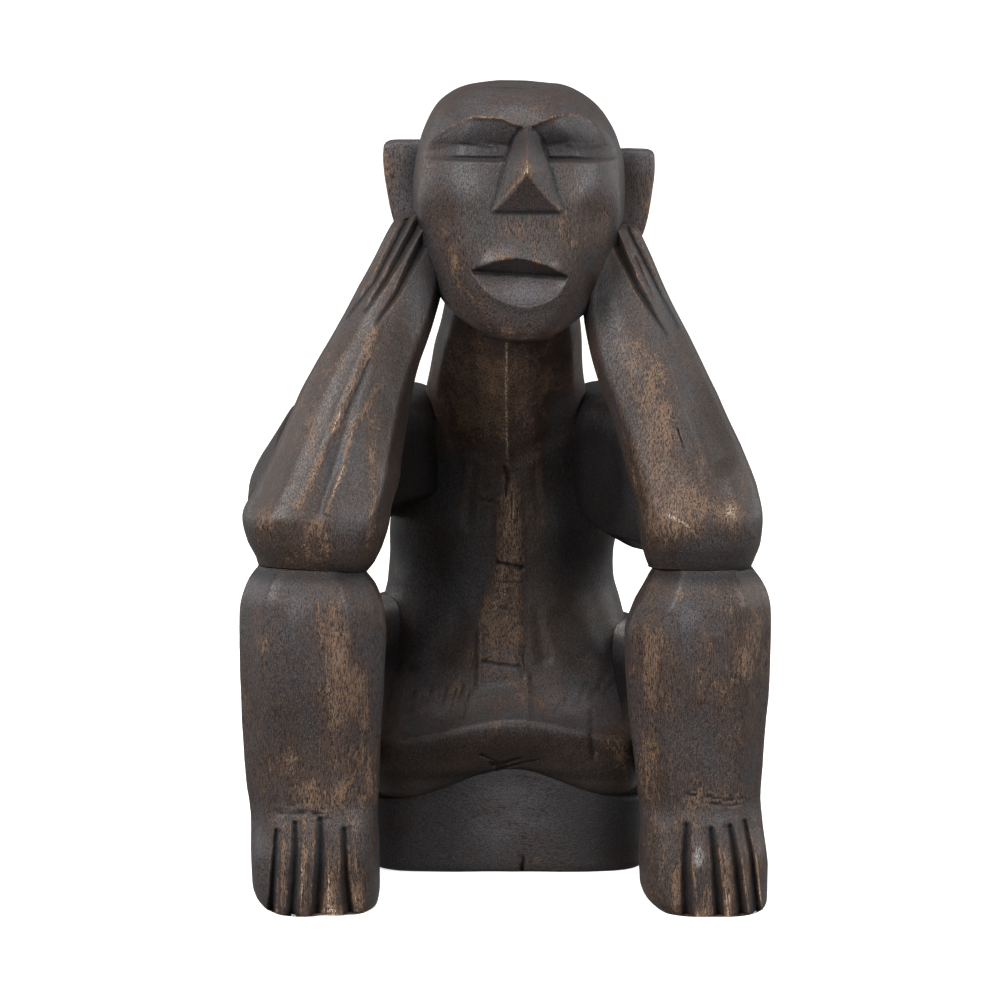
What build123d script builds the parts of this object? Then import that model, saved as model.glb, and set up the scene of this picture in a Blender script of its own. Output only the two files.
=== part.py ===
"""Seated carved figure of stained hardwood, head propped on its hands and elbows on its knees.

Millimetres, +Z up. The figure faces -Y, so its own right side is at -X. The origin is on the
surface that it stands on, under the middle of its bounding box. Every block of the carving is a
separate solid that seats on its neighbours, and hardwood dowels cross the glue lines.
"""

import os
from math import cos, pi, sin, sqrt

from build123d import *

# Stance of the whole figure
figure_depth = 205.0
head_shift = 7.0
head_roll = 2.0

# Seat block, whose top is a saddle
seat_width = 140.0
seat_depth = 112.0
seat_height = 52.0
seat_saddle_drop = 15.0
seat_front_bow = 10.0
seat_corner = 18.0
seat_front_y = -20.5

# Lower legs, a column each, with the foot at its lower end
leg_spacing = 189.0
knee_height = 167.0
knee_bulge_height = 136.0
knee_width = 70.0
knee_depth = 66.0
ankle_height = 50.0
ankle_width = 60.0
ankle_depth = 61.0
foot_depth = 68.0
sole_width = 52.0
sole_depth = 60.0
sole_round = 7.0
toe_groove_height = 46.0
toe_groove_width = 5.5
toe_groove_depth = 6.5
great_toe_width = 19.0
small_toe_width = 10.2
toe_grooves = 4

# Flat seat between knee and elbow
elbow_seat_width = 53.0
elbow_seat_depth = 51.0

# Forearms, which run from the knees up into the cheeks
elbow_bulge = 27.0
elbow_width = 70.0
elbow_depth = 63.0
forearm_middle = 245.0
forearm_width = 54.0
forearm_depth = 50.0
wrist_height = 284.0
wrist_width = 46.0
wrist_depth = 40.0
hand_end_height = 338.0
hand_end_width = 30.0
hand_end_depth = 28.0
hand_end_inset = 12.0
hand_shift = 4.0
hand_end_y = -41.0
finger_grooves = 3
finger_groove_width = 3.6
finger_groove_depth = 4.5

# Upper arms, from the shoulder blade forward to the elbow
shoulder_top = 244.0
shoulder_height = 72.0
shoulder_width = 73.0
shoulder_x = 72.0
shoulder_y = 12.0
shoulder_back = 56.0
shoulder_rear_x = 64.0
shoulder_rear_y = 42.0
shoulder_rear_width = 70.0
shoulder_rear_height = 68.0
shoulder_blade_x = 46.0
shoulder_blade_width = 42.0
shoulder_blade_height = 46.0
arm_width = 66.0
arm_height = 62.0
arm_end_inset = 12.0
arm_end_height = 40.0
arm_reach = 12.0

# Thighs, from the hip forward to the knee
buttock_x = 40.0
buttock_y = 78.0
buttock_width = 48.0
buttock_height = 62.0
hip_x = 54.0
hip_y = 36.0
hip_z = 83.0
hip_width = 66.0
hip_height = 82.0
thigh_width = 66.0
thigh_height = 78.0
thigh_end_width = 60.0
thigh_end_height = 72.0
thigh_end_drop = 58.0
thigh_reach = 14.0

# Trunk, hewn in flats all round, with the pelvis at one end and the neck at the other
trunk_flats = 28
pelvis_overhang = 11.5
rim_overhang = 2.5
pelvis_width = 140.0
pelvis_height = 80.0
pelvis_tuck = 9.0
rump_tuck = 20.0
lap_height = 100.0
lap_width = 133.0
lap_setback = 17.5
lap_back_setback = 2.0
belly_height = 126.0
belly_width = 124.0
belly_setback = 30.0
belly_back_setback = 7.0
waist_height = 156.0
waist_width = 112.0
waist_front_y = 0.0
waist_depth = 88.0
chest_height = 212.0
chest_width = 93.0
chest_depth = 82.0
chest_lean = 4.0
neck_base_height = 248.0
neck_base_width = 77.0
neck_base_depth = 75.0
neck_base_lean = 19.5
neck_top_height = 296.0
neck_top_width = 66.0
neck_top_depth = 68.5
neck_top_lean = 44.5

# Head
head_top = 400.0
head_height = 124.0
head_width = 107.0
head_depth = 105.0
head_y = -25.0
temple_height = 65.0
cheek_height = 38.0
cheek_width = 101.0
cheek_depth = 99.0
jaw_height = 19.0
jaw_width = 80.0
jaw_depth = 84.0
chin_width = 34.0
chin_depth = 36.0
chin_setback = 6.0
crown_width = 50.0
crown_depth = 70.0

# Face, cut back below the brow so that the nose stands proud
face_shift = 2.5
brow_height = 382.0
brow_crest = 6.0
brow_end_drop = 12.0
brow_half_width = 47.0
brow_depth = 11.0
face_fade_height = 318.0
eye_line_height = 366.5
eye_line_gap = 5.6
eye_line_inner = 14.0
eye_line_outer = 46.0
eye_line_width = 1.8
eye_line_depth = 2.2
nose_top_height = 384.0
nose_tip_height = 359.5
nose_base_height = 341.5
nose_half_width = 16.0
nose_projection = 13.0
mouth_height = 312.0
mouth_width = 46.0
upper_lip = 12.0
lower_lip = 14.0
mouth_depth = 8.0
mouth_slit_width = 36.0
mouth_slit_height = 2.0

# Ears
ear_reach = 14.0
ear_top_height = 371.0
ear_height = 46.0
ear_taper = 6.0
ear_thickness = 13.0
ear_y = -14.0
ear_round = 3.5
ear_dish_depth = 4.0
ear_dish_width = 20.0
ear_dish_height = 33.0

# Dowels and the glue clearance round them
dowel_clearance = 0.1
dowel_end_gap = 0.5
post_dowel_diameter = 12.0
post_dowel_length = 46.0
limb_dowel_diameter = 8.0
limb_dowel_length = 30.0
ear_dowel_diameter = 6.0
ear_dowel_length = 18.0
seat_dowel_spacing = 64.0
hip_dowel_y = 20.0

# Shares that give the sections their form
section_round = 0.36
end_round_steps = (0.6, 0.9, 1.0)
crown_round_steps = (0.45, 0.8, 1.0)
flank_share = 0.45
pelvis_power = 4.8
lap_power = 3.4
belly_power = 2.7
chest_power = 2.3
finger_middle_share = 0.5

# Places that follow from the sizes above
front_y = -figure_depth / 2
back_y = figure_depth / 2
leg_x = leg_spacing / 2
foot_y = front_y + foot_depth / 2
seat_y = seat_front_y + seat_depth / 2
saddle_side_height = seat_height - seat_saddle_drop
elbow_z = knee_height + elbow_bulge
shoulder_z = shoulder_top - shoulder_height / 2
thigh_end_z = knee_height - thigh_end_drop
chin_z = head_top - head_height
face_y = head_y - head_depth / 2
neck_y = waist_front_y - neck_top_lean + neck_top_depth / 2
beyond = 2 * figure_depth


def slab(x, y, z, width, depth):
    """A level rounded section of a block that stands upright."""
    corner = section_round * min(width, depth)
    return Pos(x, y, z) * RectangleRounded(width, depth, corner)


def slice_at(x, y, z, width, height):
    """An upright rounded section of a block that runs from front to back."""
    corner = section_round * min(width, height)
    plane = Plane(origin=(x, y, z), x_dir=(1, 0, 0), z_dir=(0, -1, 0))
    return plane * RectangleRounded(width, height, corner)


def ellipse_step(share, full, end):
    """A size part of the way along a block's end that is rounded over as a quarter ellipse."""
    return end + (full - end) * sqrt(1 - share**2)


def rod(start, direction, length, diameter):
    """A round bar that starts at a point and runs along a direction."""
    align = (Align.CENTER, Align.CENTER, Align.MIN)
    return Plane(origin=start, z_dir=direction) * Cylinder(diameter / 2, length, align=align)


def dowel(middle, direction, diameter, length):
    """A dowel centred on a glue line, and the longer, wider hole that both blocks have for it."""
    along = Vector(direction).normalized()
    hole_length = length + 2 * dowel_end_gap
    pin = rod(Vector(middle) - along * length / 2, along, length, diameter)
    hole_start = Vector(middle) - along * hole_length / 2
    return pin, rod(hole_start, along, hole_length, diameter + 2 * dowel_clearance)


def seat_block():
    """A rounded block, bowed at the front, whose top falls away to both sides like a saddle."""
    half_width = seat_width / 2
    corner_y = seat_front_y + seat_front_bow
    rear_y = seat_front_y + seat_depth
    front = ThreePointArc((-half_width, corner_y), (0, seat_front_y), (half_width, corner_y))
    rest = Polyline(front @ 1, (half_width, rear_y), (-half_width, rear_y), front @ 0)
    plan = make_face(Curve() + [front, rest])
    block = extrude(fillet(plan.vertices(), seat_corner), seat_height)
    high, low = (0, seat_height), saddle_side_height
    saddle = ThreePointArc((half_width, low), high, (-half_width, low))
    walls = Polyline(saddle @ 1, (-half_width, 0), (half_width, 0), saddle @ 0)
    arch = extrude(Plane.XZ * make_face(Curve() + [saddle, walls]), beyond, both=True)
    return block & arch


def toe_groove(x):
    """A gouge down the front of a foot, which fades out at its upper end."""
    half = toe_groove_width / 2
    root_y = front_y + toe_groove_depth
    fade_y = front_y + (foot_depth - ankle_depth) / 2
    floor = -sole_round
    points = [(x - half, front_y, floor), (x + half, front_y, floor), (x, root_y, floor)]
    points += [(x - half, front_y - half, floor), (x + half, front_y - half, floor)]
    points += [(x, front_y - half, toe_groove_height), (x, fade_y, toe_groove_height)]
    return ConvexPolyhedron(points)


def lower_leg(side):
    """The column from the sole to the knee, swelling at the knee and cut level for the elbow."""
    x = side * leg_x
    sections = [
        slab(x, foot_y, 0, sole_width, sole_depth),
        slab(x, foot_y, sole_round, ankle_width, foot_depth),
        slab(x, foot_y, ankle_height, ankle_width, ankle_depth),
        slab(x, foot_y, knee_bulge_height, knee_width, knee_depth),
    ]
    for share in end_round_steps:
        z = knee_bulge_height + share * (knee_height - knee_bulge_height)
        width = ellipse_step(share, knee_width, elbow_seat_width)
        depth = ellipse_step(share, knee_depth, elbow_seat_depth)
        sections.append(slab(x, foot_y, z, width, depth))
    leg = loft(sections, ruled=True)
    first_groove = leg_x - ankle_width / 2 + great_toe_width
    for number in range(toe_grooves):
        leg -= toe_groove(side * (first_groove + number * small_toe_width))
    return leg


def forearm_middle_at(side, z):
    """The forearm's middle at a height, on a straight line from the elbow to the end of the hand."""
    share = max(0.0, (z - elbow_z) / (hand_end_height - elbow_z))
    end_x = hand_shift + side * (head_width / 2 - hand_end_inset)
    x = side * leg_x + share * (end_x - side * leg_x)
    return x, foot_y + share * (hand_end_y - foot_y)


def finger_groove(side, number):
    """A knife cut between two fingers, deepening from the wrist to the finger tips."""
    place = (number + 1) / (finger_grooves + 1) - finger_middle_share
    low_x, low_y = forearm_middle_at(side, wrist_height)
    top_x, top_y = forearm_middle_at(side, hand_end_height)
    start = Vector(low_x + place * wrist_width, low_y - wrist_depth / 2, wrist_height)
    end = Vector(top_x + place * hand_end_width, top_y - hand_end_depth / 2, hand_end_height)
    across = Vector(finger_groove_width / 2, 0, 0)
    inward = Vector(0, finger_groove_depth, 0)
    return ConvexPolyhedron([start, end - inward + across, end - inward - across, end + inward])


def forearm(side):
    """The forearm and hand, broad at the elbow and tapering into the cheek that it supports."""
    x, y = forearm_middle_at(side, elbow_z)
    sections = []
    for share in reversed(end_round_steps):
        width = ellipse_step(share, elbow_width, elbow_seat_width)
        depth = ellipse_step(share, elbow_depth, elbow_seat_depth)
        sections.append(slab(x, y, elbow_z - share * elbow_bulge, width, depth))
    stations = [
        (elbow_z, elbow_width, elbow_depth),
        (forearm_middle, forearm_width, forearm_depth),
        (wrist_height, wrist_width, wrist_depth),
        (hand_end_height, hand_end_width, hand_end_depth),
    ]
    for z, width, depth in stations:
        sections.append(slab(*forearm_middle_at(side, z), z, width, depth))
    arm = loft(sections, ruled=True)
    for number in range(finger_grooves):
        arm -= finger_groove(side, number)
    return arm


def upper_arm(side):
    """The shoulder and upper arm, from the shoulder blade forward into the back of the elbow."""
    blade_y = shoulder_y + shoulder_back
    end_y = foot_y + arm_reach
    arm_x, arm_y = (shoulder_x + leg_x) / 2, (shoulder_y + end_y) / 2
    arm_z = (shoulder_z + elbow_z) / 2
    end_width = elbow_width - 2 * arm_end_inset
    blade = (shoulder_blade_width, shoulder_blade_height)
    rear = (shoulder_rear_width, shoulder_rear_height)
    sections = [
        slice_at(side * shoulder_blade_x, blade_y, shoulder_z, *blade),
        slice_at(side * shoulder_rear_x, shoulder_rear_y, shoulder_z, *rear),
        slice_at(side * shoulder_x, shoulder_y, shoulder_z, shoulder_width, shoulder_height),
        slice_at(side * arm_x, arm_y, arm_z, arm_width, arm_height),
        slice_at(side * leg_x, end_y, elbow_z, end_width, arm_end_height),
    ]
    return loft(sections, ruled=True)


def thigh(side):
    """The thigh, from inside the buttock forward to the back of the knee."""
    end_y = foot_y + thigh_reach
    half_way = [(hip_x + leg_x) / 2, (hip_y + end_y) / 2, (hip_z + thigh_end_z) / 2]
    sections = [
        slice_at(side * buttock_x, buttock_y, hip_z, buttock_width, buttock_height),
        slice_at(side * hip_x, hip_y, hip_z, hip_width, hip_height),
        slice_at(side * half_way[0], half_way[1], half_way[2], thigh_width, thigh_height),
        slice_at(side * leg_x, end_y, thigh_end_z, thigh_end_width, thigh_end_height),
    ]
    return loft(sections, ruled=True)


def trunk_section(z, front, back, width, power):
    """A level section of the trunk: a superellipse, squarer as its power grows, in hewn flats."""
    half = width / 2
    middle = front + flank_share * (back - front)
    corners = []
    for number in range(trunk_flats):
        turn = pi * (2 * number + 1) / trunk_flats
        depth = back - middle if sin(turn) > 0 else middle - front
        spread = abs(cos(turn) / half) ** power + abs(sin(turn) / depth) ** power
        reach = spread ** (-1 / power)
        corners.append((reach * cos(turn), middle + reach * sin(turn)))
    return Pos(0, 0, z) * make_face(Polyline(corners, close=True))


def trunk():
    """Pelvis, belly, chest and neck in one block, with the lap's edge standing out at the front."""
    lap_y = seat_front_y - pelvis_overhang
    chest_y = waist_front_y - chest_lean
    base_y = waist_front_y - neck_base_lean
    top_y = waist_front_y - neck_top_lean
    rump_width = pelvis_width - rump_tuck
    tucked_width = pelvis_width - pelvis_tuck
    stations = [
        (saddle_side_height, seat_front_y + pelvis_tuck, back_y - rump_tuck, rump_width, pelvis_power),
        (seat_height, seat_front_y - rim_overhang, back_y - pelvis_tuck, tucked_width, pelvis_power),
        (pelvis_height, lap_y, back_y, pelvis_width, pelvis_power),
        (lap_height, lap_y + lap_setback, back_y - lap_back_setback, lap_width, lap_power),
        (belly_height, lap_y + belly_setback, back_y - belly_back_setback, belly_width, belly_power),
        (waist_height, waist_front_y, waist_front_y + waist_depth, waist_width, chest_power),
        (chest_height, chest_y, chest_y + chest_depth, chest_width, chest_power),
        (neck_base_height, base_y, base_y + neck_base_depth, neck_base_width, chest_power),
        (neck_top_height, top_y, top_y + neck_top_depth, neck_top_width, chest_power),
    ]
    return loft([trunk_section(*station) for station in stations], ruled=True)


def head_block():
    """The plain head: a narrow chin, a square jaw, full temples and a flattened crown."""
    chin_y = face_y + chin_setback + chin_depth / 2
    temple_z = chin_z + temple_height
    sections = [
        slab(0, chin_y, chin_z, chin_width, chin_depth),
        slab(0, face_y + jaw_depth / 2, chin_z + jaw_height, jaw_width, jaw_depth),
        slab(0, face_y + cheek_depth / 2, chin_z + cheek_height, cheek_width, cheek_depth),
        slab(0, head_y, temple_z, head_width, head_depth),
    ]
    for share in crown_round_steps:
        width = ellipse_step(share, head_width, crown_width)
        depth = ellipse_step(share, head_depth, crown_depth)
        sections.append(slab(0, head_y, temple_z + share * (head_top - temple_z), width, depth))
    return loft(sections, ruled=True)


def brow_cut():
    """The wedge taken off below both brows, deepest there and running out on the cheeks."""
    half, low = brow_half_width, face_fade_height
    crest, end = brow_height + brow_crest, brow_height - brow_end_drop
    right_brow = ThreePointArc((0, brow_height), (half / 2, crest), (half, end))
    left_brow = ThreePointArc((-half, end), (-half / 2, crest), (0, brow_height))
    rest = Polyline(right_brow @ 1, (half, low), (-half, low), left_brow @ 0)
    outline = make_face(Curve() + [left_brow, right_brow, rest])
    column = extrude(Plane.XZ * outline, beyond, both=True)
    normal = (0, low - brow_height, brow_depth)
    slope = Plane(origin=(0, face_y, low), x_dir=(1, 0, 0), z_dir=normal)
    return column & extrude(slope * Rectangle(beyond, beyond), beyond)


def nose():
    """A faceted nose: a sharp bridge, two flanks and a broad triangular underside."""
    root_y = face_y + nose_half_width
    base = nose_base_height
    points = [(0, face_y, nose_top_height - brow_depth), (0, face_y - nose_projection, nose_tip_height)]
    points += [(0, root_y, nose_top_height)]
    for x in (-nose_half_width, nose_half_width):
        points += [(x, face_y, base), (x, root_y, base)]
    return ConvexPolyhedron(points)


def almond(y, width, rise, fall):
    """An upright almond outline: two arcs that meet at the corners of the mouth."""
    upper = ThreePointArc((-width / 2, 0), (0, rise), (width / 2, 0))
    lower = ThreePointArc((width / 2, 0), (0, -fall), (-width / 2, 0))
    plane = Plane(origin=(0, y, mouth_height), x_dir=(1, 0, 0), z_dir=(0, -1, 0))
    return plane * make_face(Curve() + [upper, lower])


def mouth_cut():
    """The hollow of the mouth: an almond at the skin that closes to a slit between the lips."""
    slit = mouth_slit_height / 2
    deep = almond(face_y + mouth_depth, mouth_slit_width, slit, slit)
    skin = almond(face_y, mouth_width, upper_lip, lower_lip)
    proud = almond(face_y - mouth_depth, mouth_width, upper_lip, lower_lip)
    return loft([deep, skin], ruled=True) + loft([skin, proud], ruled=True)


def eye_line(side, z):
    """A knife line across one eye, as a shallow notch in the plane below the brow."""
    half = eye_line_width / 2
    run = (z - face_fade_height) / (brow_height - face_fade_height)
    plane_y = face_y + brow_depth * run
    points = []
    for x in (side * eye_line_inner, side * eye_line_outer):
        points += [(x, plane_y - half, z - 2 * half), (x, plane_y - half, z + 2 * half)]
        points += [(x, plane_y + eye_line_depth, z)]
    return ConvexPolyhedron(points)


def set_on_neck(shape):
    """Puts a shape made for an upright, centred head where the head stands, with its roll."""
    pivot = (chin_z + head_top) / 2
    return Pos(head_shift, 0, pivot) * Rot(0, head_roll, 0) * Pos(0, 0, -pivot) * shape


def head():
    """The carved head with its brows, nose, eyes and mouth."""
    block = head_block() - Pos(face_shift, 0, 0) * brow_cut()
    block += Pos(face_shift, 0, 0) * nose()
    block -= Pos(face_shift, 0, 0) * mouth_cut()
    for side in (-1, 1):
        for z in (eye_line_height, eye_line_height + eye_line_gap):
            block -= Pos(face_shift, 0, 0) * eye_line(side, z)
    return set_on_neck(block)


def ear(side):
    """A flat ear that stands out from the side of the head and is dished at the front."""
    reach = side * (head_width / 2 + ear_reach)
    root = side * (head_width / 2 - ear_dowel_length)
    low = ear_top_height - ear_height
    tip = reach - side * ear_taper
    corners = [(root, ear_top_height), (reach, ear_top_height), (tip, low), (root, low)]
    outline = make_face(Polyline(corners, close=True))
    rim = outline.vertices().sort_by(Axis.X, reverse=side > 0)[:2]
    block = extrude(Plane.XZ * fillet(rim, ear_round), ear_thickness / 2, both=True)
    dish_z = ear_top_height - ear_height / 2
    dish = scale(Sphere(1), by=(ear_dish_width / 2, ear_dish_depth, ear_dish_height / 2))
    block -= Pos(side * head_width / 2, -ear_thickness / 2, dish_z) * dish
    return set_on_neck(Pos(0, ear_y, 0) * block)


def pair(make):
    """What is made for the figure's right and left sides, under the side's sign."""
    return {side: make(side) for side in (-1, 1)}


def main():
    """Builds every block, fits it to its neighbours, dowels the joints and writes the files."""
    seat = seat_block()
    body = trunk() - seat
    skull = head() - body
    legs = pair(lower_leg)
    forearms = pair(lambda side: forearm(side) - skull - body)
    arms = pair(lambda side: upper_arm(side) - body - forearms[side])
    thighs = pair(lambda side: thigh(side) - body - seat - legs[side])
    ears = pair(lambda side: ear(side) - skull - forearms[side])

    up, across, ahead = (0, 0, 1), (1, 0, 0), (0, 1, 0)
    post = (post_dowel_diameter, post_dowel_length)
    limb = (limb_dowel_diameter, limb_dowel_length)
    chest_side = (chest_width + waist_width) / 4
    ear_z = ear_top_height - ear_height / 2
    ear_dowel_y = ear_y + ear_dish_depth / 2

    neck_pin, hole = dowel((0, neck_y, neck_top_height), up, *post)
    body -= hole
    skull -= hole
    pins = {"neck_dowel": [neck_pin]}
    for side in (-1, 1):
        x = side * leg_x
        joints = {
            "seat_dowels": dowel((side * seat_dowel_spacing / 2, seat_y, seat_height), up, *post),
            "elbow_rest_dowels": dowel((x, foot_y, knee_height), up, *post),
            "shoulder_dowels": dowel((side * chest_side, shoulder_y, shoulder_z), across, *limb),
            "elbow_dowels": dowel((x, foot_y + elbow_depth / 2, elbow_z), ahead, *limb),
            "hip_dowels": dowel((side * pelvis_width / 2, hip_dowel_y, hip_z), across, *limb),
            "knee_dowels": dowel((x, foot_y + knee_depth / 2, thigh_end_z), ahead, *limb),
        }
        ear_root = (side * head_width / 2, ear_dowel_y, ear_z)
        ear_joint = dowel(ear_root, across, ear_dowel_diameter, ear_dowel_length)
        joints["ear_dowels"] = [set_on_neck(shape) for shape in ear_joint]
        for name, (pin, hole) in joints.items():
            pins.setdefault(name, []).append(pin)
        seat -= joints["seat_dowels"][1]
        body -= joints["seat_dowels"][1] + joints["shoulder_dowels"][1] + joints["hip_dowels"][1]
        legs[side] -= joints["elbow_rest_dowels"][1] + joints["knee_dowels"][1]
        forearms[side] -= joints["elbow_rest_dowels"][1] + joints["elbow_dowels"][1]
        arms[side] -= joints["shoulder_dowels"][1] + joints["elbow_dowels"][1]
        thighs[side] -= joints["hip_dowels"][1] + joints["knee_dowels"][1]
        skull -= joints["ear_dowels"][1]
        ears[side] -= joints["ear_dowels"][1]

    parts = {"seat_block": seat, "trunk": body, "head": skull}
    for side, name in ((-1, "right"), (1, "left")):
        parts[f"{name}_lower_leg"] = legs[side]
        parts[f"{name}_thigh"] = thighs[side]
        parts[f"{name}_forearm"] = forearms[side]
        parts[f"{name}_upper_arm"] = arms[side]
        parts[f"{name}_ear"] = ears[side]
    for name, solids in pins.items():
        parts[name] = Compound(solids)

    os.makedirs("parts", exist_ok=True)
    for name, shape in parts.items():
        export_step(shape, f"parts/{name}.step")


main()
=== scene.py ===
"""Carved seated figure in ebonised hardwood: the looks of every block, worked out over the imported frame."""

import logging
from dataclasses import dataclass, field
from enum import Enum

import bpy
import numpy as np
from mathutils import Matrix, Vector


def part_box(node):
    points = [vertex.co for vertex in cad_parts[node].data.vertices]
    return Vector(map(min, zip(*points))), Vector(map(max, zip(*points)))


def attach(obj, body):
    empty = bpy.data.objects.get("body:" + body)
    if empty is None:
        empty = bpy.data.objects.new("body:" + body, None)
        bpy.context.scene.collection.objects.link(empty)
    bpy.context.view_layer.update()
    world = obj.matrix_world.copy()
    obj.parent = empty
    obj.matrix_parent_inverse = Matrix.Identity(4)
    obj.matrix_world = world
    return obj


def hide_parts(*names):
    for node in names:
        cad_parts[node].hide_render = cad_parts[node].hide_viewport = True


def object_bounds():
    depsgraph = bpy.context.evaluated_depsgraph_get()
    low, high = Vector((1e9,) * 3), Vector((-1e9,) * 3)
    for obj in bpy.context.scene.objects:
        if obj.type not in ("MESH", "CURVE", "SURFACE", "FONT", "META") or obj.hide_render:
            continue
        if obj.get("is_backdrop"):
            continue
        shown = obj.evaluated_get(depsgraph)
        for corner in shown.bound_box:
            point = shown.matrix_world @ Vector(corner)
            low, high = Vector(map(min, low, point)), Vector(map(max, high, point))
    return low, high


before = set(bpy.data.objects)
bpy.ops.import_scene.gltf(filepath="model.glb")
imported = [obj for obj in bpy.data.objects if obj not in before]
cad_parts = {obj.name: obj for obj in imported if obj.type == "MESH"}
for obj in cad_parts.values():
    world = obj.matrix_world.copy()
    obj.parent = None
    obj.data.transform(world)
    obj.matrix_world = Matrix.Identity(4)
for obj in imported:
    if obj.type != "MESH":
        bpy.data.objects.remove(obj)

MM = 0.001
FRONT = -0.5 * np.pi
HEAD_X = 7.0
DRAWN_UP = np.array([1.0, 1.0, 0.6])
TORN_ACROSS = np.array([0.6, 1.0, 1.7])
TEAR_SIZE, STRAY_SIZE, BREAK_SIZE, BEND_REACH = 2.2, 3.4, 8.0, 1.6
SADDLE_X, SADDLE_REACH, SADDLE_RISE, SADDLE_FALL = 3.0, 38.0, 3.6, 18.5
LOG = logging.getLogger("carving")
Array = np.ndarray
Point = tuple[float, float, float]
Place = tuple[float, float]


class Side(Enum):
    """The figure's own sides, valued by the sign of x on that side."""

    RIGHT = -1
    LEFT = 1

    def node(self, part: str) -> str:
        """The name of this side's CAD node of a part."""
        return f"{self.name.lower()}_{part}"


class Lie(Enum):
    """Which way a block's sections are stacked."""

    UPRIGHT = "from the floor up"
    FLAT = "from the front to the back"


def linear(code: str) -> tuple[float, float, float, float]:
    """Turns an sRGB hex colour into linear red, green, blue and alpha.

    Args:
        code: Six hex digits after a number sign.

    Returns:
        The four linear channels.
    """
    channels = [int(code[i:i + 2], 16) / 255 for i in (1, 3, 5)]
    steps = [c / 12.92 if c <= 0.04045 else ((c + 0.055) / 1.055) ** 2.4 for c in channels]
    return steps[0], steps[1], steps[2], 1.0


def ease(low: float, high: float, value: Array) -> Array:
    """A smooth step: 0 below low, 1 above high, a cubic between.

    Args:
        low: Where the step starts; it may be above high for a falling step.
        high: Where the step ends.
        value: The values to map.

    Returns:
        Values from 0 to 1.
    """
    t = np.clip((value - low) / (high - low), 0.0, 1.0)
    return t * t * (3.0 - 2.0 * t)


def curve_through(knots: list[float], values: list[float], at: Array) -> Array:
    """A smooth curve through knots that never overshoots them (monotone cubic).

    Args:
        knots: Rising places of the knots.
        values: The curve's value at each knot.
        at: The places to evaluate; outside the knots the end values hold.

    Returns:
        The curve's values.
    """
    k, v = np.asarray(knots, float), np.asarray(values, float)
    step = np.diff(k)
    slope = np.diff(v) / step
    tangent = np.zeros_like(v)
    tangent[0], tangent[-1] = slope[0], slope[-1]
    before, after = slope[:-1], slope[1:]
    agree = before * after > 0
    safe = np.where(agree, before + after, 1.0)
    tangent[1:-1] = np.where(agree, 2.0 * before * after / safe, 0.0)
    at = np.clip(at, k[0], k[-1])
    i = np.clip(np.searchsorted(k, at) - 1, 0, len(step) - 1)
    h = step[i]
    t = (at - k[i]) / h
    rise = (2 * t**3 - 3 * t**2 + 1) * v[i] + (3 * t**2 - 2 * t**3) * v[i + 1]
    return rise + h * ((t**3 - 2 * t**2 + t) * tangent[i] + (t**3 - t**2) * tangent[i + 1])


def line_at(places: tuple[Place, ...], x: Array) -> Array:
    """The heights of a smooth line through places, each across and up."""
    return curve_through([p[0] for p in places], [p[1] for p in places], x)


def lattice(cell: Array, seed: int) -> Array:
    """A repeatable number from 0 to 1 for each whole-number cell, by mixing its three indices.

    Args:
        cell: Whole numbers, three in the last axis.
        seed: Picks one of many number fields.

    Returns:
        One number for each cell.
    """
    i = cell.astype(np.int64)
    mixed = i[..., 0] * 73856093 ^ i[..., 1] * 19349663 ^ i[..., 2] * 83492791 ^ seed * 2654435761
    mixed = (mixed ^ (mixed >> 13)) * 1274126177 & 0xFFFFFFFF
    return ((mixed ^ (mixed >> 16)) & 0xFFFFFF) / float(0xFFFFFF)


def waves(points: Array, size: float, seed: int) -> Array:
    """Smooth random swell: lattice numbers blended by quintic weights, from -1 to 1.

    Args:
        points: Places in mm, three in the last axis.
        size: The lattice pitch in mm.
        seed: Picks the swell.

    Returns:
        One value for each point.
    """
    q = points / size
    low = np.floor(q)
    f = q - low
    f = f**3 * (f * (f * 6 - 15) + 10)
    total = np.zeros(points.shape[:-1])
    for corner in np.ndindex(2, 2, 2):
        c = np.array(corner)
        weight = np.prod(np.where(c == 1, f, 1 - f), axis=-1)
        total += weight * lattice(low + c, seed)
    return 2 * total - 1


def scallops(points: Array, size: float, seed: int) -> Array:
    """Tool facets: squared distance to the nearest of one random point a cell, 0 in a facet's middle.

    Args:
        points: Places in mm, three in the last axis.
        size: The facets' pitch in mm.
        seed: Picks the facets.

    Returns:
        Values from 0 to about 1.
    """
    q = points / size
    low = np.floor(q)
    nearest = np.full(points.shape[:-1], 4.0)
    for corner in np.ndindex(3, 3, 3):
        cell = low + np.array(corner) - 1
        spot = cell + np.stack([lattice(cell, seed + k) for k in range(3)], axis=-1)
        nearest = np.minimum(nearest, np.sum((q - spot) ** 2, axis=-1))
    return nearest


def soften(values: Array, passes: int) -> Array:
    """Evens out values on a grid: half of each stays and an eighth comes from each of its four neighbours.

    Args:
        values: Values as rows by columns; the columns close into a ring.
        passes: How often it is done.

    Returns:
        The evened values.
    """
    for _ in range(passes):
        tall = np.pad(values, ((1, 1), (0, 0)), mode="edge")
        beside = np.roll(values, 1, axis=1) + np.roll(values, -1, axis=1)
        values = 0.5 * values + 0.125 * (tall[2:] + tall[:-2] + beside)
    return values


class Grain(Enum):
    """Which way the wood's grain runs on a block's front, valued by the axis."""

    ACROSS = 0
    UPRIGHT = 2


class Form(Enum):
    """How a cut's walls run."""

    SHARP = "straight to a sharp bottom"
    ROUND = "hollow to a round bottom"


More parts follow.
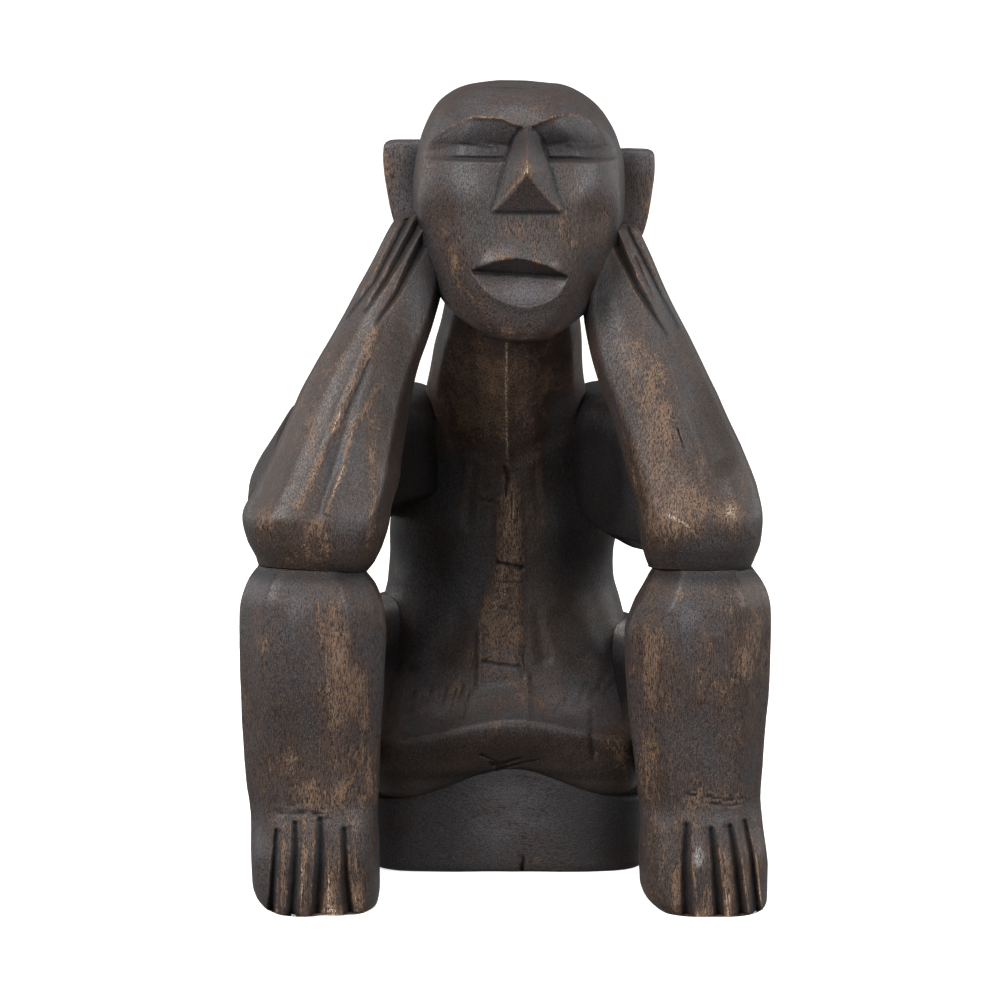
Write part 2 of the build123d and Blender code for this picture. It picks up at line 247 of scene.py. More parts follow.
@dataclass(frozen=True)
class Cut:
    """A knife or gouge cut, drawn as it is seen from the front, in mm; a negative depth raises a crest.

    Attributes:
        line: The places that it runs through.
        width: Its width at the first place and the last.
        depth: Its depth at the first place and the last.
        form: How its walls run.
        wear: How far its line is rubbed pale, from 0 to 1.
        stain_and_shade: The least darkness of its bottom, from 0 to 1: stain that it holds and painted shade;
            a steep one is darkened more.
    """

    line: tuple[Place, ...]
    width: Place
    depth: Place
    form: Form = Form.SHARP
    wear: float = 0.0
    stain_and_shade: float = 0.0

    @property
    def held_stain_and_shade(self) -> float:
        """How dark its bottom is made, from 0 to 1: its own stain and shade, or more by how steep its walls
        are, which is painted shade.
        """
        return max(self.stain_and_shade, float(ease(0.35, 1.0, np.array(max(self.depth) / max(self.width)))))

    def sink(self, x: Array, z: Array) -> tuple[Array, Array]:
        """How deep the cut is, seen from the front: depth times one less the share of its half width.

        Args:
            x: Places across.
            z: Places up.

        Returns:
            Depths in mm and nearness to its line from 0 to 1, both 0 outside the cut.
        """
        corners = np.array(self.line)
        lengths = np.linalg.norm(np.diff(corners, axis=0), axis=1)
        whole, gone = lengths.sum(), 0.0
        wall, reach = np.zeros_like(x), np.zeros_like(x)
        for start, end, length in zip(corners[:-1], corners[1:], lengths):
            run = (end - start) / length
            along = np.clip((x - start[0]) * run[0] + (z - start[1]) * run[1], 0.0, length)
            away = np.hypot(x - start[0] - along * run[0], z - start[1] - along * run[1])
            share = (gone + along) / whole
            width = self.width[0] + share * (self.width[1] - self.width[0])
            near = np.clip(1.0 - 2.0 * away / width, 0.0, 1.0)
            reach = np.where(near > wall, share, reach)
            wall = np.maximum(wall, near)
            gone += length
        depth = self.depth[0] + reach * (self.depth[1] - self.depth[0])
        return depth * (wall if self.form is Form.SHARP else wall * wall * (3.0 - 2.0 * wall)), wall


@dataclass(frozen=True)
class Rub:
    """A patch that handling or staining has left, in mm. Some patches are painted shade and some are painted
    highlights instead.

    Attributes:
        middle: Its middle.
        reach: How far it reaches along each axis.
        strength: How worn it is, or, if negative, how dark it is made: gathered stain in some patches,
            painted shade in others.
        tint: How far its coat leans to brown, or, if negative, to a blue-grey that paints sheen, and far
            negative to a pale grey that paints a highlight.
        rough: How deep tearing has left it rough, in mm.
    """

    middle: Point
    reach: Point
    strength: float
    tint: float = 0.0
    rough: float = 0.0

    def at(self, points: Array) -> Array:
        """The patch's share at points: a bell that falls off by its reach along each axis.

        Args:
            points: Places in mm, three in the last axis.

        Returns:
            Shares from 0 to 1.
        """
        off = (points - np.array(self.middle)) / np.array(self.reach)
        return np.exp(-np.sum(off**2, axis=-1))


class Skin:
    """A closed carved surface: rows of points from one pole to the other, each row a closed ring."""

    def __init__(self, rows: Array) -> None:
        """Keeps the points.

        Args:
            rows: Places in mm, as rows by columns by three; the first and last row are the poles.
        """
        self.points = rows
        self.worn = np.zeros(rows.shape[:2])
        self.dark = np.zeros(rows.shape[:2])
        self.tint = np.zeros(rows.shape[:2])

    def normals(self) -> Array:
        """The outward normals: the cross product of the differences along and across the rings."""
        across = np.roll(self.points, -1, axis=1) - np.roll(self.points, 1, axis=1)
        along = np.gradient(self.points, axis=0)
        normal = np.cross(across, along)
        size = np.linalg.norm(normal, axis=-1, keepdims=True)
        return normal / np.maximum(size, 1e-9)

    def push(self, amount: Array) -> None:
        """Moves every point along its normal by an amount in mm."""
        self.points = self.points + self.normals() * amount[..., None]

    def bend(self, reach: float) -> Array:
        """How sharply the surface bends over a reach, positive on ridges and negative in creases.

        Args:
            reach: About how far apart the compared points are, in mm.

        Returns:
            Curvature in 1/mm, the larger in size of the two directions.
        """
        normal = self.normals()
        found = []
        for axis in (0, 1):
            pitch = np.linalg.norm(np.diff(self.points, axis=axis), axis=-1)
            hop = max(1, int(round(reach / max(np.median(pitch), 0.05))))
            if axis == 1:
                ahead, behind = np.roll(self.points, -hop, axis=1), np.roll(self.points, hop, axis=1)
            else:
                last = len(self.points) - 1
                ahead = self.points[np.minimum(np.arange(last + 1) + hop, last)]
                behind = self.points[np.maximum(np.arange(last + 1) - hop, 0)]
            span = np.linalg.norm(ahead - behind, axis=-1) / 2
            fall = np.sum((ahead + behind - 2 * self.points) * normal, axis=-1)
            found.append(-fall / np.maximum(span, 0.5 * reach) ** 2)
        return np.where(np.abs(found[0]) > np.abs(found[1]), found[0], found[1])

    def mesh(self, name: str) -> bpy.types.Object:
        """Makes the Blender object, in metres, with a fan at each pole and, as attributes, the wear, the
        darkening (stain and painted shade) and the tone with its painted sheen.

        Args:
            name: The piece's name.

        Returns:
            The object, at the origin.
        """
        rows, columns = self.points.shape[0] - 2, self.points.shape[1]
        inner = self.points[1:-1].reshape(-1, 3)
        ends = self.points[[0, -1]].mean(axis=1)
        corners = np.concatenate([inner, ends]) * MM
        ring = np.arange(rows * columns).reshape(rows, columns)
        turned = np.roll(ring, -1, axis=1)
        quads = np.stack([ring[:-1], turned[:-1], turned[1:], ring[1:]], axis=-1).reshape(-1, 4)
        south, north = rows * columns, rows * columns + 1
        first = np.stack([turned[0], ring[0], np.full(columns, south)], axis=-1)
        last = np.stack([ring[-1], turned[-1], np.full(columns, north)], axis=-1)
        loops = np.concatenate([quads.ravel(), first.ravel(), last.ravel()]).astype(np.int32)
        sizes = np.concatenate([np.full(len(quads), 4), np.full(2 * columns, 3)])
        starts = np.concatenate([[0], np.cumsum(sizes)[:-1]]).astype(np.int32)
        mesh = bpy.data.meshes.new(name)
        mesh.vertices.add(len(corners))
        mesh.vertices.foreach_set("co", corners.astype(np.float32).ravel())
        mesh.loops.add(len(loops))
        mesh.loops.foreach_set("vertex_index", loops)
        mesh.polygons.add(len(sizes))
        mesh.polygons.foreach_set("loop_start", starts)
        mesh.update(calc_edges=True)
        mesh.validate()
        mesh.shade_smooth()
        for label, field_values in (("worn", self.worn), ("dark", self.dark), ("tint", self.tint)):
            ends_value = field_values[[0, -1]].mean(axis=1)
            values = np.concatenate([field_values[1:-1].ravel(), ends_value]).astype(np.float32)
            mesh.attributes.new(label, "FLOAT", "POINT").data.foreach_set("value", values)
        piece = bpy.data.objects.new(name, mesh)
        bpy.context.scene.collection.objects.link(piece)
        return piece


@dataclass(frozen=True)
class Section:
    """One section of a block, in mm.

    Attributes:
        at: Its place along the stack.
        x: Its middle across.
        mid: Its middle in the other direction: depth if the block is upright, height if it lies flat.
        half: Half its width.
        low: How far it reaches from mid towards the front, or downwards if the block lies flat.
        high: How far it reaches from mid towards the back, or upwards.
        square: The power of its outline: 2 is an ellipse, more is squarer.
    """

    at: float
    x: float
    mid: float
    half: float
    low: float
    high: float
    square: float = 2.7


@dataclass(frozen=True)
class Flat:
    """A flat hewn along a block, at an angle round its sections.

    Attributes:
        turn: The way that it faces, in degrees from the front, positive towards +x.
        share: Its distance from the section's middle, as a share of the plain section's radius there.
        start: Where along the stack it is full, in mm.
        end: Where it stops being full.
        fade: How far past those places it runs out.
    """

    turn: float
    share: float
    start: float = -1000.0
    end: float = 1000.0
    fade: float = 20.0

    def hew(self, radius: Array, turn: Array, at: Array) -> Array:
        """Cuts radii back to the flat: the flat's distance over the cosine of the angle away from it.

        Args:
            radius: Radii, as rows by columns.
            turn: Angles from the front in radians, as one row.
            at: Places along the stack, as one column.

        Returns:
            The radii, softly held under the flat.
        """
        facing = np.radians(self.turn)
        off = (turn - facing + np.pi) % (2.0 * np.pi) - np.pi
        nearest = np.argmin(np.abs(off[0]))
        reach = radius[:, nearest][:, None] * self.share
        flat = reach / np.maximum(np.cos(off), 0.05)
        over = radius - flat
        held = 0.5 * (over + np.sqrt(over**2 + 0.7)) * (np.abs(off) < 1.4)
        on = ease(self.start - self.fade, self.start, at) * ease(self.end + self.fade, self.end, at)
        return radius - held * on


def both(turn: float, share: float, start: float, end: float, fade: float) -> tuple[Flat, Flat]:
    """Two flats alike, to +x and to -x."""
    return Flat(turn, share, start, end, fade), Flat(-turn, share, start, end, fade)


@dataclass
class Block:
    """A carved block: a stack of sections, its flats, cuts and worn patches.

    Attributes:
        name: The piece's name.
        nodes: The CAD nodes that it stands for.
        sections: The stack, from its first end to its last.
        lie: Which way the stack runs.
        rows: Rings along the stack.
        columns: Points in a ring.
        gather: How much denser the points are at the front, from 0 to 0.9.
        flats: Flats hewn along it.
        cuts: Cuts in its front.
        rubs: Worn and dark patches, some of them painted shade and painted highlights.
        facet: Pitch and depth of the tool facets in mm.
        swell: Size and height of its unevenness in mm.
        wander: How far the cuts stray from their lines, in mm.
        edge: How far its crisp edges are rubbed pale, from 0 to 1.
        stain_and_shade: How dark the whole block is made, from 0 to 1: gathered stain, and on the upper arms
            mostly painted shade.
        tint: How far its whole coat leans to brown, or, if negative, to a blue-grey that partly paints sheen.
        grain: Which way its grain runs.
        seed: Picks the unevenness.
    """

    name: str
    nodes: tuple[str, ...]
    sections: tuple[Section, ...] = ()
    lie: Lie = Lie.UPRIGHT
    rows: int = 260
    columns: int = 300
    gather: float = 0.0
    flats: tuple[Flat, ...] = ()
    cuts: tuple[Cut, ...] = ()
    rubs: tuple[Rub, ...] = ()
    facet: tuple[float, float] = (16.0, 0.45)
    swell: tuple[float, float] = (38.0, 0.8)
    wander: float = 0.5
    edge: float = 0.6
    stain_and_shade: float = 0.0
    tint: float = 0.0
    grain: Grain = Grain.UPRIGHT
    seed: int = 1
    cap_rows: int = field(default=7, init=False)

    def rings(self) -> Skin:
        """Stacks the sections: in each, the radius at an angle is that of a superellipse, one over the
        n-th root of the sum of the n-th powers of cosine over half width and sine over half depth.

        Returns:
            The plain block's skin, closed by flat ends.
        """
        knots = [s.at for s in self.sections]
        fine = np.linspace(knots[0], knots[-1], 2000)
        fronts = curve_through(knots, [s.mid - s.low for s in self.sections], fine)
        halves = curve_through(knots, [s.half for s in self.sections], fine)
        path = np.cumsum(np.sqrt(sum(np.gradient(line) ** 2 for line in (fine, fronts, halves))))
        inner = np.interp(np.linspace(path[0], path[-1], self.rows), path, fine)
        at = np.concatenate([np.full(self.cap_rows, knots[0]), inner, np.full(self.cap_rows, knots[-1])])
        closing = np.linspace(0.0, 1.0, self.cap_rows, endpoint=False)
        size = np.concatenate([closing, np.ones(self.rows), closing[::-1]])[:, None]
        x, mid, half, low, high, square = (
            curve_through(knots, [getattr(s, key) for s in self.sections], at)[:, None]
            for key in ("x", "mid", "half", "low", "high", "square")
        )
        turn = np.linspace(-np.pi, np.pi, self.columns, endpoint=False)[None, :]
        turn = turn - self.gather * np.sin(turn)
        angle = turn + FRONT
        cosine, sine = np.cos(angle), np.sin(angle)
        depth = np.where(sine < 0, low, high)
        radius = ((np.abs(cosine) / half) ** square + (np.abs(sine) / depth) ** square) ** (-1.0 / square)
        for flat in self.flats:
            radius = flat.hew(radius, turn, at[:, None])
        across = x + size * radius * cosine
        other = mid + size * radius * sine
        stack = np.broadcast_to(at[:, None], across.shape)
        places = (across, other, stack) if self.lie is Lie.UPRIGHT else (across, stack, other)
        skin = Skin(np.stack(places, axis=-1))
        if self.lie is Lie.FLAT:
            skin.points = skin.points[:, ::-1]
        return skin

    def shape(self, skin: Skin) -> None:
        """Gives the plain block what is its own; most blocks have nothing more."""

    def carve(self, skin: Skin) -> None:
        """Adds the hand work: slow swell, tool facets, then the cuts in what faces the front."""
        p = skin.points
        uneven = self.swell[1] * waves(p, self.swell[0], self.seed)
        chips = scallops(p * DRAWN_UP, self.facet[0], self.seed + 5)
        uneven += self.facet[1] * (chips - 0.4)
        torn = ease(-0.2, 0.7, waves(p * TORN_ACROSS, TEAR_SIZE, self.seed + 13))
        for rub in self.rubs:
            uneven -= rub.rough * rub.at(p) * torn
        open_skin = np.ones(len(p))
        open_skin[:self.cap_rows] = open_skin[-self.cap_rows:] = 0.0
        skin.push(uneven * open_skin[:, None])
        if self.cuts:
            facing = ease(0.05, 0.45, -skin.normals()[..., 1])
            x, z = (
                skin.points[..., k] + self.wander * waves(p, STRAY_SIZE, self.seed + 7 + k) for k in (0, 2)
            )
            sunk, raised = np.zeros_like(x), np.zeros_like(x)
            for cut in self.cuts:
                deep, near = cut.sink(x, z)
                sunk, raised = np.maximum(sunk, deep), np.minimum(raised, deep)
                skin.worn = np.maximum(skin.worn, cut.wear * near * facing)
                # Cut bottoms are darkened: their own stain, plus painted shade that grows with how steep the
                # cut is.
                skin.dark = np.maximum(skin.dark, cut.held_stain_and_shade * near * facing)
            skin.points[..., 1] += (sunk + raised) * facing

    def weather(self, skin: Skin) -> None:
        """Works out the wear and the painted light: crests rubbed pale, creases darkened as gathered stain
        and painted shade, and the patches, from handling and staining and from painted shade and painted
        highlight.
        """
        bend = skin.bend(BEND_REACH)
        broken = ease(-0.5, 0.5, waves(skin.points * DRAWN_UP, BREAK_SIZE, self.seed + 9))
        skin.worn = skin.worn + self.edge * broken * ease(0.14, 0.5, bend)
        skin.tint = skin.tint + self.tint
        # Creases are darkened by their bend: partly gathered stain, partly painted shade.
        skin.dark = soften(np.maximum(skin.dark, ease(0.08, 0.4, -bend)), 2) + self.stain_and_shade
        for rub in self.rubs:
            bell = rub.at(skin.points)
            skin.worn = skin.worn + max(rub.strength, 0.0) * bell
            skin.dark = skin.dark + max(-rub.strength, 0.0) * bell
            skin.tint = skin.tint + rub.tint * bell
        skin.worn = np.clip(skin.worn, 0.0, 1.0)
        skin.dark = np.clip(skin.dark, 0.0, 1.0)

    def build(self) -> bpy.types.Object:
        """Makes the piece.

        Returns:
            The finished mesh object, riding on the figure.
        """
        skin = self.rings()
        self.shape(skin)
        self.carve(skin)
        low, high = (np.array(corner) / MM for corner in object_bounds())
        skin.points = np.clip(skin.points, low, high)
        self.weather(skin)
        piece = skin.mesh(self.name)
        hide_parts(*self.nodes)
        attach(piece, "root")
        LOG.info("%s: %d faces", self.name, len(piece.data.polygons))
        return piece

    def dress(self, piece: bpy.types.Object, finishes: dict[Grain, bpy.types.Material]) -> None:
        """Gives the piece the finish whose grain runs its way."""
        piece.data.materials.append(finishes[self.grain])


@dataclass
class Limb(Block):
    """A block of a leg or arm that meets the next one in a seam which is not quite level.

    Attributes:
        seam: The seam's middle.
        lift: How far the seam rises to the front, over its own radius.
        tilt: How far it rises towards +x, over its own radius.
        radius: The seam's radius.
    """

    seam: Point = (0.0, 0.0, 0.0)
    lift: float = 3.4
    tilt: float = 0.0
    radius: float = 26.0

    def shape(self, skin: Skin) -> None:
        """Bends the end at the seam: lift by the share of the way to the front, tilt by that to +x."""
        p = skin.points
        off = (p - np.array(self.seam)) / self.radius
        near = ease(34.0, 0.0, np.abs(p[..., 2] - self.seam[2]))
        front, beside = np.clip(-off[..., 1], 0.0, 1.0), np.clip(off[..., 0], -1.0, 1.0)
        p[..., 2] += near * (self.lift * front + self.tilt * beside)


def named(node: str) -> dict[str, object]:
    """The name of the piece that stands for a CAD node, and that node."""
    return {"name": f"{node}_carved", "nodes": (node,)}


def lower_leg(side: Side) -> Limb:
    """A lower leg: a hewn column that swells to the knee, with the toes cut into the foot's front.

    Args:
        side: Which leg.

    Returns:
        The block.
    """
    s = side.value
    low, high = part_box(side.node("lower_leg"))
    x, y = (low.x + high.x) / 2 / MM, (low.y + high.y) / 2 / MM
    heights = (0.0, 1.2, 5.0, 12.0, 24.0, 42.0, 52.0, 62.0, 90.0, 118.0, 136.0, 149.0, 158.0, high.z / MM)
    inner = {
        Side.RIGHT: (64.5, 63.3, 62.7, 62.7, 62.9, 62.9, 62.3, 61.4, 59.9, 58.5, 57.9, 58.9, 61.7, 67.9),
        Side.LEFT: (74, 72.4, 68.6, 66.4, 65.9, 65.9, 65.1, 63.7, 60.6, 58.3, 58.2, 62.2, 67.2, 72),
    }[side]
    outer = {
        Side.RIGHT: (
            118, 120.4, 123.4, 125.4, 125.7, 125.7, 126.3,
            127.4, 129.1, 130.5, 131.1, 130.1, 127.3, 121.1,
        ),
        Side.LEFT: (
            127.5, 128.7, 129.3, 129.2, 129.1, 127.2, 126.2,
            126.4, 128.4, 130.4, 131.3, 130.3, 127.5, 121.3,
        ),
    }[side]
    fronts = (34.4, 35.2, 35.4, 35.0, 34.4, 31.6, 30.2, 31.0, 31.8, 32.8, 33.0, 32.2, 29.8, 25.2)
    backs = (29.4, 30.4, 31.2, 31.2, 31.2, 30.7, 30.5, 31.0, 32.0, 32.8, 33.0, 32.4, 30.4, 25.6)
    squares = (3.1, 3.1, 3.1, 3.1, 3.1, 3.0, 2.9, 2.9, 2.9, 2.8, 2.8, 2.8, 2.7, 2.6)
    sections = tuple(
        Section(z, s * (near + far) / 2, y, (far - near) / 2, front, back, square)
        for z, near, far, front, back, square in zip(heights, inner, outer, fronts, backs, squares)
    )
    flats = (
        Flat(0, 0.965, 60),
        Flat(s * 52, 0.93, 45),
        Flat(s * -44, 0.92, 58),
        Flat(s * 92, 0.985, 30),
        Flat(s * -96, 0.98, 50),
        Flat(180, 0.96, 20),
        Flat(s * 138, 0.92, 20),
        Flat(s * -140, 0.92, 20),
    )
    toes = {
        Side.RIGHT: (
            ((-111.4, 42), (-112.6, 24), (-114.4, -2)),
            ((-102.1, 45.5), (-102, 30), (-104.2, -2)),
            ((-90, 47.5), (-89.6, 32), (-91.8, -2)),
            ((-78.4, 42.5), (-77.6, 18), (-75.6, -2)),
        ),
        Side.LEFT: (
            ((88.4, 44.5), (87.4, 28), (88.6, -2)),
            ((100.2, 42.5), (101.7, 28), (104.4, -2)),
            ((109.4, 44), (112.2, 28), (115.6, -2)),
            ((116.6, 45.5), (120, 30), (123.2, -2)),
        ),
    }[side]
    widths = {Side.RIGHT: (4.5, 7.0, 8.4, 6.4), Side.LEFT: (8.6, 7.6, 6.6, 5.0)}[side]
    cuts: tuple[Cut, ...] = ()
    for line, wide in zip(toes, widths):
        beside = tuple((place - s * 0.3 * wide, z) for place, z in line)
        rim = tuple((place + share * wide, z) for (place, z), share in zip(line[1:], (0.45, 0.64)))
        cuts += (
            # Toe grooves: the darkening share paints shade in the valleys.
            Cut(line, (0.7 * wide, 1.3 * wide), (1.8, 5.6), Form.ROUND, stain_and_shade=0.8),
            Cut(beside, (0.8 * wide, 2 * wide), (0.6, 2.2), Form.ROUND),
            Cut(rim, (0.9, 1.9), (0.05, 0.05), wear=0.9),
        )
    rubs = {
        Side.RIGHT: (
            Rub((-82, -98, 139), (7, 20, 16), 0.66),
            Rub((-76, -98, 108), (11, 20, 26), 0.46),
            Rub((-68, -98, 80), (7, 20, 40), 0.36),
            Rub((-82, -98, 60), (20, 20, 10), 0.34),
            # Painted highlight: blue-grey sheen on the knee's top, where light from above falls.
            Rub((-98, -92, 152), (15, 24, 12), 0, -1.7),
            Rub((-118, -95, 132), (5, 18, 14), 0.34),
            Rub((-93, -98, 143), (14, 20, 12), -0.2),
            Rub((-106, -98, 100), (9, 20, 22), -0.2),
            Rub((-84, -101, 1), (6, 12, 4), 1, 0, 0.8),
            Rub((-114, -99, 2), (4, 12, 3), 0.9, 0, 0.6),
            Rub((-85, -102, 12), (2.6, 8, 12), 0.85),
            Rub((-98, -102, 20), (1.8, 8, 14), 0.8),
            Rub((-108, -102, 26), (1.6, 8, 14), 0.6),
            Rub((-71, -102, 10), (1.8, 8, 9), 0.7),
            # Painted sheen: the foot's top is lightened to blue-grey, with a little wear.
            Rub((-96, -96, 40), (26, 14, 12), 0.12, -1),
            Rub((-104, -98, 52.6), (9, 14, 3.6), 0.1, -0.4, 0.9),
            Rub((-92, -98, 50.8), (5, 14, 3.2), 0, -0.4, 1),
        ),
        Side.LEFT: (
            Rub((71, -96, 122), (6, 18, 28), 0.52),
            Rub((70, -96, 78), (6, 18, 22), 0.36),
            Rub((90, -94, 160), (10, 14, 4), 0.55),
            Rub((118, -96, 128), (5, 18, 12), 0.34),
            Rub((102, -99, 60), (18, 20, 8), 0.42),
            # Painted highlight: blue-grey sheen on the knee's top, where light from above falls.
            Rub((88, -99, 148), (12, 20, 9), -0.1, -1.6),
            Rub((96, -102, 1), (12, 12, 3), 0.55),
            # Painted highlight: a pale grey spot on the big toe.
            Rub((94, -102, 30), (3.4, 10, 7), 0, -3.4),
            Rub((92, -98, 61), (5, 14, 3.6), 0, -0.4, 0.9),
            Rub((107, -98, 57.4), (15, 14, 3.6), 0.1, -0.3, 0.9),
            Rub((84, -102, 12), (1.8, 8, 14), 0.75),
            Rub((98, -102, 8), (2.4, 8, 9), 0.7),
            Rub((109, -102, 14), (2, 8, 14), 0.7),
            Rub((118, -102, 20), (1.8, 8, 14), 0.6),
            # Painted sheen: the foot's top is lightened to blue-grey, with a little wear.
            Rub((98, -96, 46), (24, 14, 8), 0.12, -1),
        ),
    }[side]
    seam = (x, y, high.z / MM)
    return Limb(
        **named(side.node("lower_leg")),
        sections=sections,
        flats=flats,
        cuts=cuts,
        rubs=(*rubs, Rub(seam, (80.0, 80.0, 4.0), -0.7)),
        seam=seam,
        tilt=-1.6 if side is Side.RIGHT else 0.0,
        gather=0.4,
        rows=280,
        columns=330,
        facet=(15.0, 0.7),
        wander=0.15,
        edge=0.45,
        seed=11 + s,
    )


def forearm(side: Side) -> Limb:
    """A forearm and hand: broad at the elbow, tapering into the cheek, with the fingers cut in.

    Args:
        side: Which arm.

    Returns:
        The block.
    """
    s = side.value
    foot_low, foot_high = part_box(side.node("lower_leg"))
    x0, y0 = (foot_low.x + foot_high.x) / 2 / MM, (foot_low.y + foot_high.y) / 2 / MM
    bottom = foot_high.z / MM
    bulge, tip_y = bottom + 27.0, -41.0
    tip = 338.0 if side is Side.RIGHT else 333.0
    heights = (bottom, bottom + 5.0, bottom + 13.0, bulge, 208.0, 222.0, 245.0, 265.0, 284.0, 300.0, 318.0,
               tip - 6.0, tip - 2.0, tip)
    middles = {
        Side.RIGHT: (
            -93.6, -92.6, -92.7, -92.2, -87, -82.6, -75.2,
            -67.4, -58.3, -51.6, -45.6, -40.4, -38.6, -37.5,
        ),
        Side.LEFT: (94.6, 94.8, 95.2, 94.8, 91.6, 87.2, 78.2, 69.8, 62.8, 58.2, 54.2, 52, 51, 50),
    }[side]
    halves = {
        Side.RIGHT: (26.6, 29.4, 33.2, 36.4, 35, 32.4, 29.2, 26.4, 24.1, 21.6, 18, 16, 14.4, 11),
        Side.LEFT: (24.8, 26.8, 29.2, 30.6, 30.8, 30, 28.4, 27.4, 24.6, 20.8, 17, 15.2, 14, 11),
    }[side]
    depths = (24.6, 27.4, 30.4, 31.8, 30.6, 28.2, 25.4, 22.8, 20.4, 18.7, 16.6, 14.8, 13.4, 10.8)
    squares = (2.6, 2.6, 2.6, 2.6, 2.6, 2.6, 2.5, 2.5, 2.5, 2.8, 2.9, 2.9, 2.7, 2.4)
    sections = tuple(
        Section(z, x, y0 + max(0, (z - bulge) / (tip - bulge)) * (tip_y - y0), half, depth, depth, square)
        for z, x, half, depth, square in zip(heights, middles, halves, depths, squares)
    )
    fingers = {
        Side.RIGHT: (
            Cut(((-76.4, 289.2), (-62.6, 307.8), (-49.1, 333.2), (-44, 343)), (3, 6), (0.3, 4.6)),
            Cut(((-67.8, 293), (-57.4, 307.8), (-46.5, 326.3), (-40.5, 337)), (3, 6), (0.3, 4.8)),
            Cut(((-62.3, 287.3), (-52, 301.8), (-44.8, 315.9), (-38, 328)), (3, 6.4), (0.3, 5)),
        ),
        Side.LEFT: (
            Cut(((84.2, 284.3), (73.9, 303), (66.9, 317.8), (62.1, 327), (57, 338)),
                (2.6, 5.6), (0.4, 4.4)),
            Cut(((78.2, 281.7), (71.2, 292.5), (64.2, 303.5), (56.9, 319.2), (51, 332)), (3, 6), (0.8, 5)),
            Cut(((74.7, 293.2), (63.5, 317.8)), (2.4, 4), (0.2, 1)),
        ),
    }[side]
    planes = {
        Side.RIGHT: (
            Cut(((-66, 268), (-76, 244), (-82.5, 222), (-90, 200)), (8, 12), (0.5, 1.7), Form.ROUND),
            Cut(((-61.8, 286), (-76.9, 251.6), (-92.8, 215), (-99, 203)), (6.4, 5.4), (-0.7, -0.6),
                Form.ROUND, 0.6),
            Cut(((-61.2, 258), (-73.3, 238), (-78, 220), (-86, 200)), (5.6, 5), (-0.5, -0.6),
                Form.ROUND, 0.54),
        ),
        Side.LEFT: (
            Cut(((76, 296), (87, 266), (95, 246), (104, 224)), (13, 20), (1.2, 2.4), Form.ROUND),
            Cut(((69, 292), (77.7, 267.6), (83.8, 250.7), (97.2, 219)), (9, 9), (-0.4, -0.8), Form.ROUND),
            Cut(((78, 198.2), (86, 194.6), (91, 189.9), (93.1, 182.8)), (2, 1.6), (0.3, 0.3), wear=1),
            Cut(((83, 238), (86, 229)), (1.4, 1), (0.8, 0.3)),
        ),
    }[side]
    flats = (
        Flat(s * -20, 0.97, 205, 330),
        Flat(s * 46, 0.97, 205, 320),
        Flat(s * -72, 0.95, 205, 320),
        Flat(s * 95, 0.98, 200, 320),
        Flat(180, 0.95, 210, 320),
        Flat(s * 140, 0.93, 200, 320),
        Flat(s * -130, 0.94, 200, 320),
    )
    rubs = {
        Side.RIGHT: (
            Rub((-106, -80, 240), (14, 30, 50), 0.06, 1.2),
            Rub((-51, -66, 250), (11, 30, 34), -0.68, 1),
            Rub((-91.5, -98, 193), (5, 14, 4), 0.66, 1),
            Rub((-64, -84, 214), (3, 18, 34), 0.44, 1),
            Rub((-100, -88, 235), (10, 16, 40), 0.22),
            Rub((-113, -88, 196), (5, 14, 7), 0.35),
            Rub((-84, -96, 228), (3, 14, 20), -0.35),
            # Painted shade: the hand's inner edge beside the cheek, darkened near black.
            Rub((-37, -54, 316), (9, 26, 18), -0.75),
            Rub((-31, -58, 296), (7, 26, 18), -1),
        ),
        Side.LEFT: (
            Rub((66, -90, 262), (10, 18, 30), 0.36, -0.4),
            Rub((76, -92, 222), (12, 18, 20), 0.38, 0.2),
            Rub((60, -84, 282), (7, 16, 14), 0.46, 1),
            Rub((88, -96, 199), (20, 16, 12), 0.72, 0.8),
            Rub((109, -92, 199), (6, 16, 9), 0.85, 1.5),
            Rub((104, -84, 246), (12, 24, 36), -0.45, 1.3),
            Rub((94, -98, 180), (20, 14, 6), -0.3),
            Rub((86, -96, 240), (6, 14, 16), -0.2, -1),
            # Painted shade: the hand's inner edge beside the cheek, darkened near black.
            Rub((52, -54, 312), (8, 26, 18), -0.9),
            Rub((46, -58, 294), (6, 26, 16), -0.9),
        ),
    }[side]
    seam = (x0, y0, bottom)
    return Limb(
        **named(side.node("forearm")),
        sections=sections,
        flats=flats,
        cuts=(*fingers, *planes),
        rubs=(*rubs, Rub(seam, (80.0, 80.0, 4.6), -0.8)),
        seam=seam,
        tilt=-1.6 if side is Side.RIGHT else 0.0,
        wander=0.15,
        gather=0.4,
        rows=290,
        columns=320,
        facet=(14.0, 0.5),
        seed=21 + s,
    )


